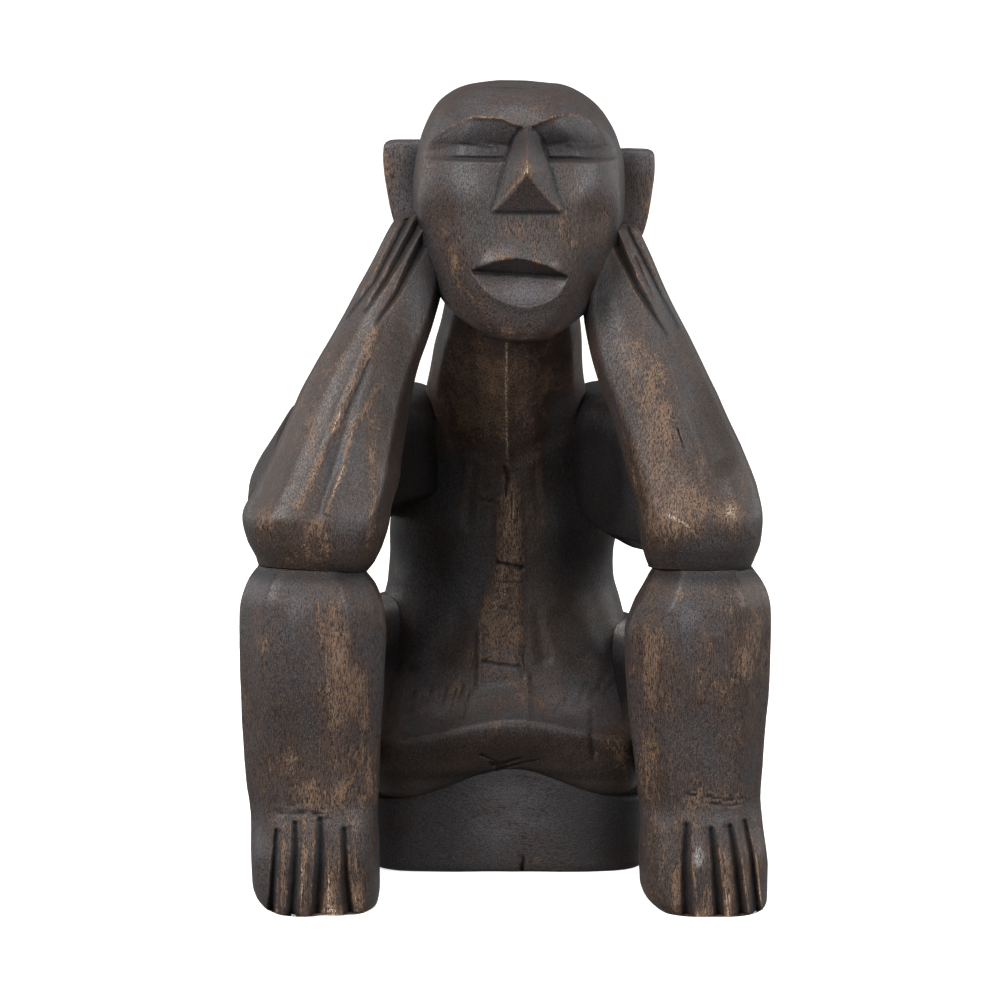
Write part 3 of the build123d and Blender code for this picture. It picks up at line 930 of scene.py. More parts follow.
def upper_arm(side: Side) -> Block:
    """A shoulder and upper arm, boxy, from the shoulder blade forward into the elbow.

    Args:
        side: Which arm.

    Returns:
        The block.
    """
    s = side.value
    outer = {
        Side.RIGHT: (127, 127, 123, 120.5, 118, 114.5, 103, 88, 70, 56),
        Side.LEFT: (117, 117, 114, 111, 108.5, 106, 98, 85, 69, 56),
    }[side]

    def section(
        y: float, inside: float, outside: float, mid: float, low: float, high: float, square: float
    ) -> Section:
        """A section between its inner and outer side."""
        return Section(y, s * (inside + outside) / 2, mid, (outside - inside) / 2, low, high, square)

    sag = 0.0 if side is Side.RIGHT else 12.0
    sections = (
        section(-52, 69, outer[0], 196, 18 + 0.4 * sag, 24, 2.8),
        section(-32, 62, outer[1], 200, 23 + sag, 29, 3.2),
        section(-15, 53.5, outer[2], 204, 27 + sag, 32.5, 4.6),
        section(-6, 45.5, outer[3], 206, 28.5 + sag, 32.5, 5.6),
        section(2, 38, outer[4], 207, 30 + 0.6 * sag, 33.5, 5.8),
        section(12, 34, outer[5], 207, 30.5, 36, 5.4),
        section(34, 29, outer[6], 208, 32, 37, 3.8),
        section(50, 24, outer[7], 207, 30, 33, 2.9),
        section(62, 20, outer[8], 206, 24, 26, 2.5),
        section(68, 20, outer[9], 206, 15, 16, 2.3),
    )
    flats = (Flat(s * 122.0, 0.86), Flat(s * 88.0, 0.98), Flat(s * -28.0, 0.95))
    return Block(
        **named(side.node("upper_arm")),
        sections=sections,
        lie=Lie.FLAT,
        flats=flats,
        rows=190,
        columns=260,
        facet=(14.0, 0.5),
        rubs=(
            # Painted shade: the upper arm's front, in shade behind the forearm and under the head, darkened.
            Rub((s * 46, -6, 200), (30, 28, 32), -1),
            # Painted highlight: blue-grey sheen along the upper arm's top.
            Rub((s * 66, 4, 246), (60, 26, 5), 0, -0.8),
            Rub((s * 52, -4, 190), (3, 20, 12), 0.35 if side is Side.LEFT else 0, 1.2),
            Rub((s * 84, 62, 212), (30, 24, 22), 0.62, 1.2),
            Rub((s * 112, 20, 232), (16, 26, 16), 0.55, 0.6),
        ),
        # Mostly painted shade: the whole upper arm is darkened, as it sits in shade.
        stain_and_shade=0.4,
        tint=-0.2,
        seed=31 + s,
    )


def thigh(side: Side) -> Block:
    """A thigh, from inside the buttock forward to the back of the knee.

    Args:
        side: Which leg.

    Returns:
        The block.
    """
    s = side.value
    tops = {
        Side.RIGHT: (142, 141, 139, 137, 135, 134),
        Side.LEFT: (139, 131, 124, 121.5, 122, 122),
    }[side]

    def section(
        y: float, x: float, mid: float, half: float, low: float, top: float, square: float
    ) -> Section:
        """A section by the height of its top."""
        return Section(y, s * x, mid, half, low, top - mid, square)

    sections = (
        section(-52, 95, 108, 27, 34, tops[0], 3.2),
        section(-34, 94, 99, 28.5, 40, tops[1], 3.6),
        section(-15, 88, 90, 27, 41, tops[2], 4),
        section(0, 82, 86, 25, 41, tops[3], 4.2),
        section(20, 71, 84, 26, 41, tops[4], 4.2),
        section(38, 57, 83, 31, 41, tops[5], 3.6),
        Section(62, s * 47, 83, 28, 36, 38, 2.9),
        Section(76, s * 42, 83, 21, 28, 28, 2.5),
        Section(82, s * 40, 83, 12, 17, 17, 2.3),
    )
    return Block(
        **named(side.node("thigh")),
        sections=sections,
        lie=Lie.FLAT,
        flats=(Flat(s * 130.0, 0.94), Flat(s * 90.0, 0.97)),
        rows=190,
        columns=260,
        facet=(14.0, 0.8),
        rubs=(
            # Painted shade: the thigh's front below its top, darkened.
            Rub((s * 50, 0, 84), (24, 44, 20), -0.6),
            Rub((s * 50, 0, tops[4] - 24), (24, 44, 14), -0.9),
            Rub((s * 96, 44, 108), (26, 30, 22), 0.4, 1.2),
            # Painted highlight: pale grey on the thigh's top, where light from above falls.
            Rub((s * 56, 10, tops[4]), (20, 30, 7), 0, -3.2),
        ),
        stain_and_shade=0.1,
        tint=-0.2,
        seed=41 + s,
    )


def strokes(start: Place, step: Place, run: Place, count: int, depth: float = 0.9) -> tuple[Cut, ...]:
    """A row of short chisel strokes side by side, strayed and of unequal lengths by a sine of their number.

    Args:
        start: Where the first one starts.
        step: How far the next one starts from it.
        run: How far each one runs.
        count: How many there are.
        depth: How deep they are where they start, in mm.

    Returns:
        The cuts.
    """
    number = np.arange(count)[:, None]
    stray = np.concatenate([0.8 * np.sin(2.3 * number), 1.8 * np.sin(4.1 * number)], axis=1)
    places = np.array(start) + number * np.array(step) + stray
    ends = places + np.array(run) * (0.7 + 0.35 * np.sin(1.7 * number)) + 0.4 * stray
    width = (1.3 + 0.6 * depth, 1.2 + 0.2 * depth)
    return tuple(Cut((tuple(a), tuple(b)), width, (depth, 0.4 * depth)) for a, b in zip(places, ends))


def saddle(x: Array) -> Array:
    """The height of the seat's saddle: a bell over its middle that falls away to both sides, in mm."""
    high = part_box("seat_block")[1].z / MM + SADDLE_RISE
    return high - SADDLE_FALL * (1.0 - np.exp(-(((x - SADDLE_X) / SADDLE_REACH) ** 2)))


@dataclass
class Trunk(Block):
    """Pelvis, belly, chest and neck, with a keel down the front and the lap's edge over the seat.

    Attributes:
        keel_at: Heights of places along the keel.
        keel_x: Its middle at those heights.
        keel_half: Half its width at those heights.
        keel_rise: How far it stands out.
        keel_ends: Heights where the keel starts, is full, is full no more and ends.
        keel_low: Heights between which its foot is less worn.
        lap_drop: How far the lap's edge falls away to the sides, and over what distance.
        lap_ends: Heights where that starts, is full, is full no more and ends.
        lap_x: The middle of the lap's arch.
        rim: Heights between which the rim comes to follow the saddle, then its plain height.
    """

    keel_at: tuple[float, ...] = (98.0, 106.0, 132.0, 157.0, 205.0)
    keel_x: tuple[float, ...] = (-2.4, -2.6, -1.8, 2.2, 2.8)
    keel_half: tuple[float, ...] = (11.6, 11.0, 10.2, 6.4, 4.8)
    keel_rise: float = 1.5
    keel_ends: tuple[float, ...] = (94.0, 104.0, 186.0, 208.0)
    keel_low: Place = (136.0, 110.0)
    lap_drop: Place = (13.0, 48.0)
    lap_ends: tuple[float, ...] = (58.0, 74.0, 90.0, 116.0)
    lap_x: float = 5.0
    rim: Point = (74.0, 54.0, 52.0)

    def shape(self, skin: Skin) -> None:
        """Lets the rim follow the saddle and the lap's edge its arch, and raises the keel on the front."""
        p = skin.points
        x, z = p[..., 0].copy(), p[..., 2].copy()
        rim = ease(self.rim[0], self.rim[1], z)
        starts, full, fades, ends = self.lap_ends
        lap = ease(starts, full, z) * ease(ends, fades, z)
        drop, wide = self.lap_drop
        arch = -drop * (1.0 - np.exp(-(((x - self.lap_x) / wide) ** 2)))
        p[..., 2] += rim * (saddle(x) - self.rim[2]) + lap * arch * ease(40.0, 10.0, p[..., 1])
        front = ease(0.15, 0.6, -skin.normals()[..., 1])
        middle = curve_through(self.keel_at, self.keel_x, z)
        half = curve_through(self.keel_at, self.keel_half, z)
        crest = ease(1.0, 0.0, (np.abs(x - middle) - half + 4.0) / 8.0)
        starts, full, fades, ends = self.keel_ends
        reach = ease(starts, full, z) * ease(ends, fades, z)
        p[..., 1] -= self.keel_rise * crest * front * reach
        low = ease(*self.keel_low, z)
        # The keel's pale foot is wear; its blue-grey lean is painted sheen.
        skin.worn = (0.86 - 0.6 * low) * crest * front * reach
        skin.tint = -(0.7 + 0.9 * low) * crest * front * reach


def trunk() -> Trunk:
    """The trunk of the figure.

    Returns:
        The block.
    """

    def section(z: float, half: float, front: float, back: float, square: float, x: float = 0.0) -> Section:
        """A section by where its front and back lie; its widest place is a little before its middle."""
        mid = front + 0.45 * (back - front)
        return Section(z, x, mid, half, mid - front, back - mid, square)

    sections = (
        section(49, 61, -17, 90, 5),
        section(52, 66, -22.5, 94, 5),
        section(60, 69, -27.5, 98.5, 5.2),
        section(70, 70.5, -31, 101, 5.2),
        section(79, 70.5, -32.8, 101.8, 5),
        section(81.5, 70.2, -31.8, 101.8, 4.8),
        section(84, 69.8, -28, 101.6, 4.6),
        section(92, 68.5, -17, 101, 4),
        section(99, 67.2, -10, 100, 3.5),
        section(106, 66.4, -7, 99, 3.1),
        section(126, 62, -2, 95, 2.7, -1.8),
        section(142, 58.2, 0.5, 91, 2.5, -2.2),
        section(156, 57.4, 1, 88, 2.4, -1.6),
        section(170, 58.6, 1, 86, 2.4, -0.8),
        section(188, 58, 0.5, 84, 2.3),
        section(212, 49, -3, 79, 2.2),
        section(234, 41.6, -11.5, 67, 2.2),
        section(248, 39.6, -19, 56, 2.2, 0.2),
        section(264, 37.6, -28.5, 45, 2.2, 1.4),
        section(282, 34.6, -38.5, 32, 2.2, 2.8),
        section(297, 32.2, -44.5, 24, 2.2, 2.8),
    )
    flats = (
        *both(34, 0.95, 205, 300, 30),
        *both(72, 0.97, 205, 300, 30),
        Flat(180, 0.97, 60, 220, 40),
        *both(140, 0.95, 90, 230, 40),
    )
    knife = (1.5, 1.2)
    cracks = (
        Cut(((43.6, 84), (43.4, 74), (44.2, 61)), (2.7, 2.2), (1.2, 0.9), stain_and_shade=1),
        Cut(((-3.8, 156.4), (1, 155.6), (8.4, 153.6)), (2.6, 3.6), (1.5, 2)),
        Cut(((-3, 146.6), (9.2, 146.2)), knife, (0.8, 0.7)),
        Cut(((-2, 133.4), (6.6, 132.6)), knife, (0.8, 0.6)),
        Cut(((-11, 124.5), (-8, 121)), knife, (1, 0.6)),
        Cut(((-11.4, 107), (-2, 105.4), (8, 104.6)), (2, 1.6), (1.6, 1.2)),
        Cut(((9.2, 110), (9.8, 104)), knife, (1, 0.6)),
        Cut(((0.2, 205.5), (1.6, 200), (0.4, 190)), (3.4, 1.6), (1.8, 1)),
        Cut(((3.6, 192), (3.2, 176)), (1.2, 0.9), (1, 0.5)),
        Cut(((6.4, 184), (6, 170)), (1.1, 0.9), (0.8, 0.5)),
        Cut(((-3, 187), (-14, 189)), (1.4, 1), (0.9, 0.4)),
    )
    gouged = (
        Cut(((16, 132), (20, 108)), (9, 13), (0.6, 1.5), Form.ROUND),
        Cut(((-22, 126), (-34, 108)), (20, 28), (1, 1.7), Form.ROUND),
        Cut(((28, 126), (38, 108)), (18, 28), (1, 1.7), Form.ROUND),
        Cut(((42, 233), (21.3, 219.5), (4, 210)), (22, 12), (1.7, 0.6), Form.ROUND),
        Cut(((-40, 231), (-20, 217), (-6, 209)), (20, 10), (0.9, 0.3), Form.ROUND),
        Cut(((15, 204), (18, 178)), (7, 9), (0.9, 0.5), Form.ROUND),
        Cut(((-16, 206), (-19, 176)), (8, 10), (0.8, 0.5), Form.ROUND),
        Cut(((0.4, 276), (0.4, 240), (1, 206)), (12, 10), (-0.7, -0.9), Form.ROUND),
        Cut(((0.8, 278), (0.6, 240), (1.2, 207)), (2.4, 2), (-0.3, -0.4), Form.ROUND, 1),
        Cut(((-12.6, 121), (-13, 96)), (4, 6), (-0.8, -0.6), Form.ROUND),
        Cut(((11, 100), (11.4, 84)), (5, 7), (-0.9, -0.8), Form.ROUND),
    )
    marks = (
        *strokes((-50, 88), (2.6, 0.5), (-2.8, -9.5), 13, 0.8),
        *strokes((25, 84), (2.8, 0.8), (5.4, 8.5), 12, 0.8),
        *strokes((-58, 100), (3.4, 0.4), (-3, 7), 6, 0.8),
        *strokes((-12, 63.6), (4, -3.2), (10, -5), 3, 1.5),
        *strokes((-6.2, 57), (1.6, -1), (20, 6.6), 3, 1.5),
        Cut(((54, 68), (60, 58), (62, 46)), (1.3, 1), (0.2, 0.2), wear=0.9),
        Cut(((58, 64), (65, 60)), (1.2, 1), (0.2, 0.2), wear=0.9),
    )
    rubs = (
        # Painted highlight: blue-grey sheen on the lap's top facets, with a little wear.
        Rub((0, -18, 90), (26, 18, 9), 0.06, -0.8),
        Rub((-32, -17, 87), (22, 18, 10), 0.12, -1.7),
        Rub((34, -17, 87), (22, 18, 10), 0.1, -1.6),
        # Painted shade: the lap's front under its edge, darkened.
        Rub((0, -31, 66), (80, 8, 12), -0.3, 0.6),
        Rub((17, -6, 202), (4, 20, 14), 0.34, 1),
        Rub((-18, -20, 240), (16, 34, 30), 0.44, 0.6),
        Rub((18, -20, 246), (12, 34, 24), 0.14, 0.8),
        Rub((0, -26, 246), (26, 34, 30), 0.42, 0.8),
        Rub((-26, -14, 97), (4, 14, 12), 0.24, -0.5),
        Rub((24, -14, 98), (5, 14, 12), 0.2, -0.4),
        Rub((9, -16, 93), (4, 14, 10), 0.26, -0.3),
        Rub((6, 98, 150), (34, 24, 44), 0.42, 0.6),
        Rub((-4, 70, 232), (22, 26, 22), 0.46, 0.6),
        Rub((-46, 94, 92), (18, 24, 26), 0.4, 0.8),
        Rub((44, 94, 100), (16, 24, 30), 0.38, 0.8),
        Rub((15, -8, 172), (5, 20, 20), 0.24, 1),
        Rub((-30, -31, 58), (26, 12, 6), 0.30, 1),
        Rub((46, -31, 66), (20, 12, 9), 0.34, 1.2),
        # Darkened beside the thighs, at the chest's sides and in the armpits: partly the wood's darker tone,
        # mostly painted shade.
        Rub((-50, -2, 112), (17, 32, 15), -0.68),
        Rub((53, -2, 112), (17, 32, 15), -0.6),
        Rub((34, 0, 160), (19, 30, 40), -0.95),
        Rub((-32, 0, 160), (18, 30, 40), -0.75),
        Rub((34, -4, 205), (14, 24, 24), -0.6),
        Rub((-40, -4, 205), (14, 24, 24), -0.5),
        # Painted shade: a dark band along the trunk's lower rim over the seat.
        Rub((0, -28, 52), (70, 16, 3), -0.6),
    )
    cuts = (*cracks, *gouged, *marks)
    return Trunk(**named("trunk"), sections=sections, flats=flats, cuts=cuts, rubs=rubs, rows=330,
                 columns=288, gather=0.5, facet=(15.0, 0.7), wander=0.15, stain_and_shade=0.02, seed=51)


@dataclass
class SeatBlock(Block):
    """The block under the figure, whose top is a saddle."""

    def shape(self, skin: Skin) -> None:
        """Bends the top down to both sides by scaling heights to the saddle."""
        p = skin.points
        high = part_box("seat_block")[1].z / MM
        p[..., 2] *= saddle(p[..., 0]) / high


def seat_block() -> SeatBlock:
    """The seat.

    Returns:
        The block.
    """
    low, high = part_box("seat_block")
    mid = (low.y + high.y) / 2 / MM
    half, depth, top = (high.x - low.x) / 2 / MM + 2.0, (high.y - low.y) / 2 / MM, high.z / MM
    drawn_in = ((0.0, 2.0), (2.0, 0.4), (6.0, 0.0), (top - 4.0, 0.0), (top - 1.0, 0.5), (top, 2.0))
    sections = tuple(
        Section(z, 0.0, mid, half - less, depth - less, depth - less, 5.6) for z, less in drawn_in
    )
    cuts = (Cut(((9.0, -1.0), (9.2, 9.0)), (3.4, 1.2), (3.0, 0.6)),)
    rubs = (
        # Painted highlight: blue-grey on the middle of the seat's front.
        Rub((4, low.y / MM, 26), (34, 20, 40), 0, -1.5),
        # Painted shade: the seat's front darkened towards both sides, beside the legs.
        Rub((-60, low.y / MM, 20), (24, 20, 40), -0.3, 0.2),
        Rub((62, low.y / MM, 20), (26, 20, 40), -0.75, -0.3),
        Rub((-18, high.y / MM, 22), (40, 16, 14), 0.4, 0.8),
    )
    return SeatBlock(**named("seat_block"), sections=sections, cuts=cuts, rubs=rubs, rows=120, columns=360,
                     gather=0.3, facet=(22.0, 0.4), stain_and_shade=0.1, grain=Grain.ACROSS, seed=61)


@dataclass
class Head(Block):
    """The head and its face, whose relief is worked out over the front as heights above the plain head.

    Attributes:
        middle: Where the head's middle is across, in mm; the face's sizes are measured from it.
        brow: Places along the brow's edge.
        lower_lid: Places along the lower edge of the eyes.
        socket: How steeply the eyes' facets run in under the brow, and how much deeper by the nose.
        nose: Its middle, the heights of its bridge, tip and base, its half width and its projection.
        eye_lines: Knife lines along the lids.
        upper_lip: Places along the upper lip, from corner to corner.
        lower_lip: Places along the lower lip, between the same corners.
        muzzle: Where the mouth stands out most, its reach across and up, and how far it stands out.
        mouth_depth: How far the line between the lips lies behind them.
        crown: The height of the flat sawn on top, in mm.
    """

    middle: float = HEAD_X
    brow: tuple[Place, ...] = (
        (-52.0, 366.0), (-45.0, 373.0), (-30.4, 383.5), (-22.0, 386.8), (-9.7, 386.4), (-3.0, 383.8),
        (4.0, 382.6), (11.0, 385.2), (21.0, 387.8), (29.0, 386.7), (38.0, 381.4), (47.0, 374.4),
        (54.0, 367.0),
    )
    lower_lid: tuple[Place, ...] = ((-54.0, 366.0), (-10.0, 366.2), (13.0, 366.0), (56.0, 365.3))
    socket: tuple[float, float] = (0.28, 1.6)
    nose: tuple[float, float, float, float, float, float] = (3.4, 385.0, 362.4, 342.0, 17.4, 13.5)
    eye_lines: tuple[Cut, ...] = (
        Cut(((-40, 373.2), (-27, 373.6), (-13, 371.6)), (1, 1.2), (0.3, 0.6)),
        Cut(((22, 372.6), (34, 371.6), (48, 371.8)), (1.2, 1), (0.6, 0.3)),
        Cut(((-48, 366), (-30, 366.6), (-10.5, 366.2)), (1.4, 2.2), (0.5, 1.3)),
        Cut(((14.5, 366.8), (34, 366.2), (51, 365)), (2.2, 1.4), (1.3, 0.5)),
    )
    upper_lip: tuple[Place, ...] = (
        (-23.7, 313.1), (-18.5, 315.5), (-8.2, 318.8), (-1.7, 319.5),
        (11.4, 316.4), (20.7, 311.7), (23.4, 310.2),
    )
    lower_lip: tuple[Place, ...] = (
        (-23.7, 313.1), (-18.0, 306.0), (-9.0, 299.6), (3.7, 296.2),
        (14.0, 299.0), (20.0, 303.6), (23.4, 310.2),
    )
    muzzle: tuple[float, float, float, float, float] = (0.5, 311.0, 27.0, 17.0, 2.4)
    mouth_depth: float = 9.0
    crown: float = 399.3

    def eyes(self, x: Array, z: Array) -> Array:
        """The sockets: a facet runs in from the brow to the lid, and the cheek swells out below a ledge."""
        brow, lid = line_at(self.brow, x), line_at(self.lower_lid, x)
        off = np.abs(x - self.nose[0])
        span = np.maximum(brow - lid, 1.0)
        depth = self.socket[0] * span + self.socket[1] * ease(30.0, 8.0, off)
        facet = np.clip((brow - z) / span / 0.62, 0.0, 1.0)
        cheek = 0.34 * ease(20.0, 0.0, lid - z)
        inside = np.where(z >= lid, facet, cheek)
        sunk = np.max([line.sink(x, z)[0] for line in self.eye_lines], axis=0)
        over = np.where(z >= brow, np.exp(-(((z - brow) / 4.0) ** 2)), ease(2.0, 0.0, brow - z))
        crest = 0.8 * over * ease(44.0, 24.0, off)
        return crest - depth * inside * (z < brow) - sunk

    def nose_height(self, x: Array, z: Array) -> Array:
        """The nose: straight flanks from its ridge to the face, and one plane from its tip to its base."""
        mid, bridge, tip, base, half, reach = self.nose
        up = np.clip((z - tip) / (bridge - tip), 0.0, 1.0)
        ridge = reach * (1.0 - up)
        width = 3.5 + (half - 3.5) * np.clip((bridge - z) / (bridge - base), 0.0, 1.0) ** 0.88
        side = np.abs(x - mid) / width
        ground = curve_through([base, tip, 374.0, bridge], [0.2, -2.2, -4.4, -1.0], z)
        flanks = ridge + (ground - ridge) * side
        under = reach - (reach - 0.8) * (tip - z) / (tip - base)
        height = np.where(z < tip, np.minimum(flanks, under), flanks)
        return np.where((z < base) | (z > bridge) | (side > 1.0), -50.0, height)

    def mouth(self, x: Array, z: Array) -> Array:
        """The mouth: a steep facet under the upper lip and a long one over the lower lip meet in a line."""
        left, right = self.upper_lip[0], self.upper_lip[-1]
        share = np.clip((x - left[0]) / (right[0] - left[0]), 0.0, 1.0)
        line = left[1] + share * (right[1] - left[1])
        upper, lower = line_at(self.upper_lip, x), line_at(self.lower_lip, x)
        depth = self.mouth_depth * np.clip(1.0 - (2.0 * share - 1.0) ** 2, 0.0, 1.0) ** 0.6
        above = np.clip((upper - z) / np.maximum(upper - line, 0.6), 0.0, 1.0)
        below = np.clip((z - lower) / np.maximum(line - lower, 0.6), 0.0, 1.0) ** 1.25
        within = (x > left[0]) & (x < right[0])
        mid_x, mid_z, wide, tall, reach = self.muzzle
        muzzle = reach * np.exp(-(((x - mid_x) / wide) ** 2) - ((z - mid_z) / tall) ** 2)
        rim = 1.9 * np.exp(-(((z - upper) / 4.2) ** 2)) * (z > upper) + 1.2 * (z <= upper) * (z > line)
        rim = rim + 0.8 * np.exp(-(((z - lower) / 3.4) ** 2)) * (z < lower)
        return muzzle + (rim * ease(0.0, 0.25, share) * ease(1.0, 0.75, share)
                         - depth * np.where(z > line, above, below)) * within

    def shape(self, skin: Skin) -> None:
        """Adds the face's relief where the head faces the front, and saws the crown flat."""
        p = skin.points
        x, z = p[..., 0] - self.middle, p[..., 2].copy()
        facing = ease(0.12, 0.5, -skin.normals()[..., 1])
        relief = np.maximum(self.eyes(x, z), self.nose_height(x, z)) + self.mouth(x, z)
        p[..., 1] -= facing * soften(relief, 1)
        crown = self.crown + 0.03 * (p[..., 1] + 25.0)
        p[..., 2] = np.minimum(z, crown)


def head() -> Head:
    """The head of the figure.

    Returns:
        The block.
    """
    x = HEAD_X
    sections = (
        Section(276.2, x, -57, 6, 5, 5, 2.2),
        Section(278, x, -56, 14, 12, 11, 2.3),
        Section(281, x, -53, 20, 18, 18, 2.4),
        Section(285, x, -47.5, 27, 25.5, 36, 2.4),
        Section(291, x, -40.5, 35.5, 34, 50.5, 2.4),
        Section(299, x, -34, 42.5, 41.5, 55.5, 2.5),
        Section(311, x, -28.5, 49, 48, 53.5, 2.6),
        Section(326, x, -26, 52.4, 51.4, 52.5, 2.7),
        Section(343, x, -25, 53.5, 52.5, 52.5, 2.7),
        Section(360, x, -25, 51.6, 52, 51, 2.7),
        Section(374, x - 0.6, -25, 48.2, 50.6, 48, 2.6),
        Section(384, x - 1.2, -25, 43.4, 47.6, 43.5, 2.5),
        Section(391, x - 1.8, -25, 37.8, 43, 38, 2.4),
        Section(396.5, x - 2.2, -25, 30, 34, 30.5, 2.3),
        Section(399.4, x - 2.4, -25, 22, 24, 22, 2.2),
        Section(400.4, x - 2.4, -25, 16, 17, 16, 2.1),
    )
    flats = (
        Flat(0, 0.985, 300, 345),
        *both(40, 0.955, 285, 335, 25),
        *both(84, 0.97, 290, 340, 25),
        Flat(-46, 0.97, 372, 400, 10),
        Flat(42, 0.97, 374, 400, 10),
    )
    rubs = (
        # Painted highlight: blue-grey sheen on the philtrum, with wear, and on the lower lip.
        Rub((-4, -80, 321.5), (9, 14, 3), 0.5, -0.8),
        Rub((8, -80, 304), (16, 14, 6), 0, -0.6),
        Rub((10.4, -90, 363), (3, 8, 3.4), 0.9),
        Rub((-30, -64, 340), (14, 26, 16), 0.12, 1.6),
        Rub((42, -64, 338), (14, 26, 16), 0.1, 1.4),
        Rub((-28, -70, 322), (10, 20, 16), 0.2),
        Rub((6, -76, 332), (12, 12, 6), 0.22),
        Rub((3, -40, 400), (11, 6, 4), -0.6, 0, 1.2),
        # Painted shade: the eye sockets darkened under the brow.
        Rub((-18, -70, 375), (25, 18, 8), -0.45, 0.4),
        Rub((32, -70, 375), (25, 18, 8), -0.85, 0.4),
        # Painted sheen: blue-grey on the forehead's top.
        Rub((7, -70, 394), (40, 40, 10), 0, -0.6),
        Rub((43, -62, 302), (6, 20, 10), 0.4, 1.6),
        Rub((10, -70, 283), (28, 20, 5), 0.25, 1),
        Rub((12, 26, 352), (26, 18, 24), 0.5, 1.4),
        Rub((7, 6, 388), (26, 18, 8), 0.45, 1.2),
        # Painted shade: the cheeks beside the hands, darkened near black.
        Rub((-41, -50, 326), (5, 26, 14), -1),
        Rub((-34, -58, 300), (5, 26, 16), -1),
        Rub((54, -50, 322), (5, 26, 14), -1),
        Rub((43, -58, 298), (5, 26, 16), -1),
    )
    cuts = (
        Cut(((10.4, 362.4), (-6.6, 342.4)), (1.8, 1.4), (0.06, 0.06), wear=0.85),
        Cut(((10.4, 362.4), (27, 342.6)), (1.6, 1.2), (0.06, 0.06), wear=0.55),
        Cut(((-32, 378.6), (-15, 387), (-2.7, 386.6), (4, 384)), (1.2, 2), (0.05, 0.05), wear=0.8),
        Cut(((18, 385.4), (28, 388), (36, 386.9), (45, 381.6)), (1.8, 1.2), (0.05, 0.05), wear=0.55),
    )
    return Head(**named("head"), sections=sections, flats=flats, cuts=cuts, rubs=rubs, rows=300,
                columns=312, gather=0.6, facet=(17.0, 0.5), swell=(34.0, 0.5), edge=0.3, tint=-0.8, seed=71)


@dataclass
class Ear(Block):
    """A flat ear, hollowed on its front beside the head.

    Attributes:
        side: Which ear.
    """

    side: Side = Side.RIGHT

    def shape(self, skin: Skin) -> None:
        """Hollows the front, deepest along the root."""
        p = skin.points
        low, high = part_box(self.side.node("ear"))
        root = (high.x if self.side is Side.RIGHT else low.x) / MM
        mid = (low.z + high.z) / 2 / MM
        hollow = np.exp(-(((p[..., 0] - root) / 8.0) ** 2) - ((p[..., 2] - mid) / 16.0) ** 2)
        p[..., 1] += 3.0 * hollow * ease(0.2, 0.7, -skin.normals()[..., 1])


def ear(side: Side) -> Ear:
    """An ear.

    Args:
        side: Which ear.

    Returns:
        The block.
    """
    s = side.value
    top = 371.5 if side is Side.RIGHT else 367.0
    root = HEAD_X + s * 44.0
    reach = HEAD_X + s * 67.8

    def section(drop: float, tip: float, thick: float, square: float) -> Section:
        """A level section from the root out to the rim."""
        outer = reach - s * tip
        return Section(top - drop, (root + outer) / 2, -14.0, abs(outer - root) / 2, thick, thick, square)

    sections = (
        section(49, 12, 3.5, 3),
        section(46, 8, 5.4, 3.6),
        section(36, 4.4, 6.4, 4.4),
        section(20, 1.6, 6.5, 5),
        section(8, 0.6, 6.4, 5),
        section(3, 0.8, 6.2, 5),
        section(1, 2, 5.4, 4.4),
        section(0, 4, 4, 3.6),
    )
    return Ear(**named(side.node("ear")), sections=sections, rows=110, columns=160,
               # Painted shade where the ear's root meets the head; the ear's blue-grey lean is partly painted
               # sheen.
               rubs=(Rub((root + s * 8.0, -20.0, top - 20.0), (4.0, 20.0, 24.0), -0.5),),
               facet=(10.0, 0.3), swell=(18.0, 0.3), tint=-1.6, seed=81 + s, side=side)


def add(tree: bpy.types.NodeTree, kind: str, inputs: dict, **settings: object) -> bpy.types.Node:
    """Adds a node, sets it and links what feeds it.

    Args:
        tree: The material's node tree.
        kind: The node's type name.
        inputs: What goes into its sockets, by name or number: another node's socket, or a value.
        settings: The node's own properties.

    Returns:
        The node.
    """
    made = tree.nodes.new(kind)
    for key, value in settings.items():
        setattr(made, key, value)
    for key, value in inputs.items():
        if isinstance(value, bpy.types.NodeSocket):
            tree.links.new(value, made.inputs[key])
        else:
            made.inputs[key].default_value = value
    return made


def ramp(
    tree: bpy.types.NodeTree, source: bpy.types.NodeSocket, low: float, high: float
) -> bpy.types.NodeSocket:
    """A smooth step from 0 to 1 of a value between two limits."""
    step = add(tree, "ShaderNodeMapRange", {"Value": source, "From Min": low, "From Max": high},
               interpolation_type="SMOOTHSTEP")
    return step.outputs["Result"]


def blend(tree: bpy.types.NodeTree, share: object, first: object, second: object) -> bpy.types.NodeSocket:
    """A colour that goes from the first to the second by a share."""
    mix = add(tree, "ShaderNodeMix", {"Factor": share, 6: first, 7: second}, data_type="RGBA")
    return mix.outputs[2]


def maths(tree: bpy.types.NodeTree, operation: str, first: object, second: object) -> bpy.types.NodeSocket:
    """One sum of two values, held between 0 and 1."""
    made = add(tree, "ShaderNodeMath", {0: first, 1: second}, operation=operation, use_clamp=True)
    return made.outputs[0]


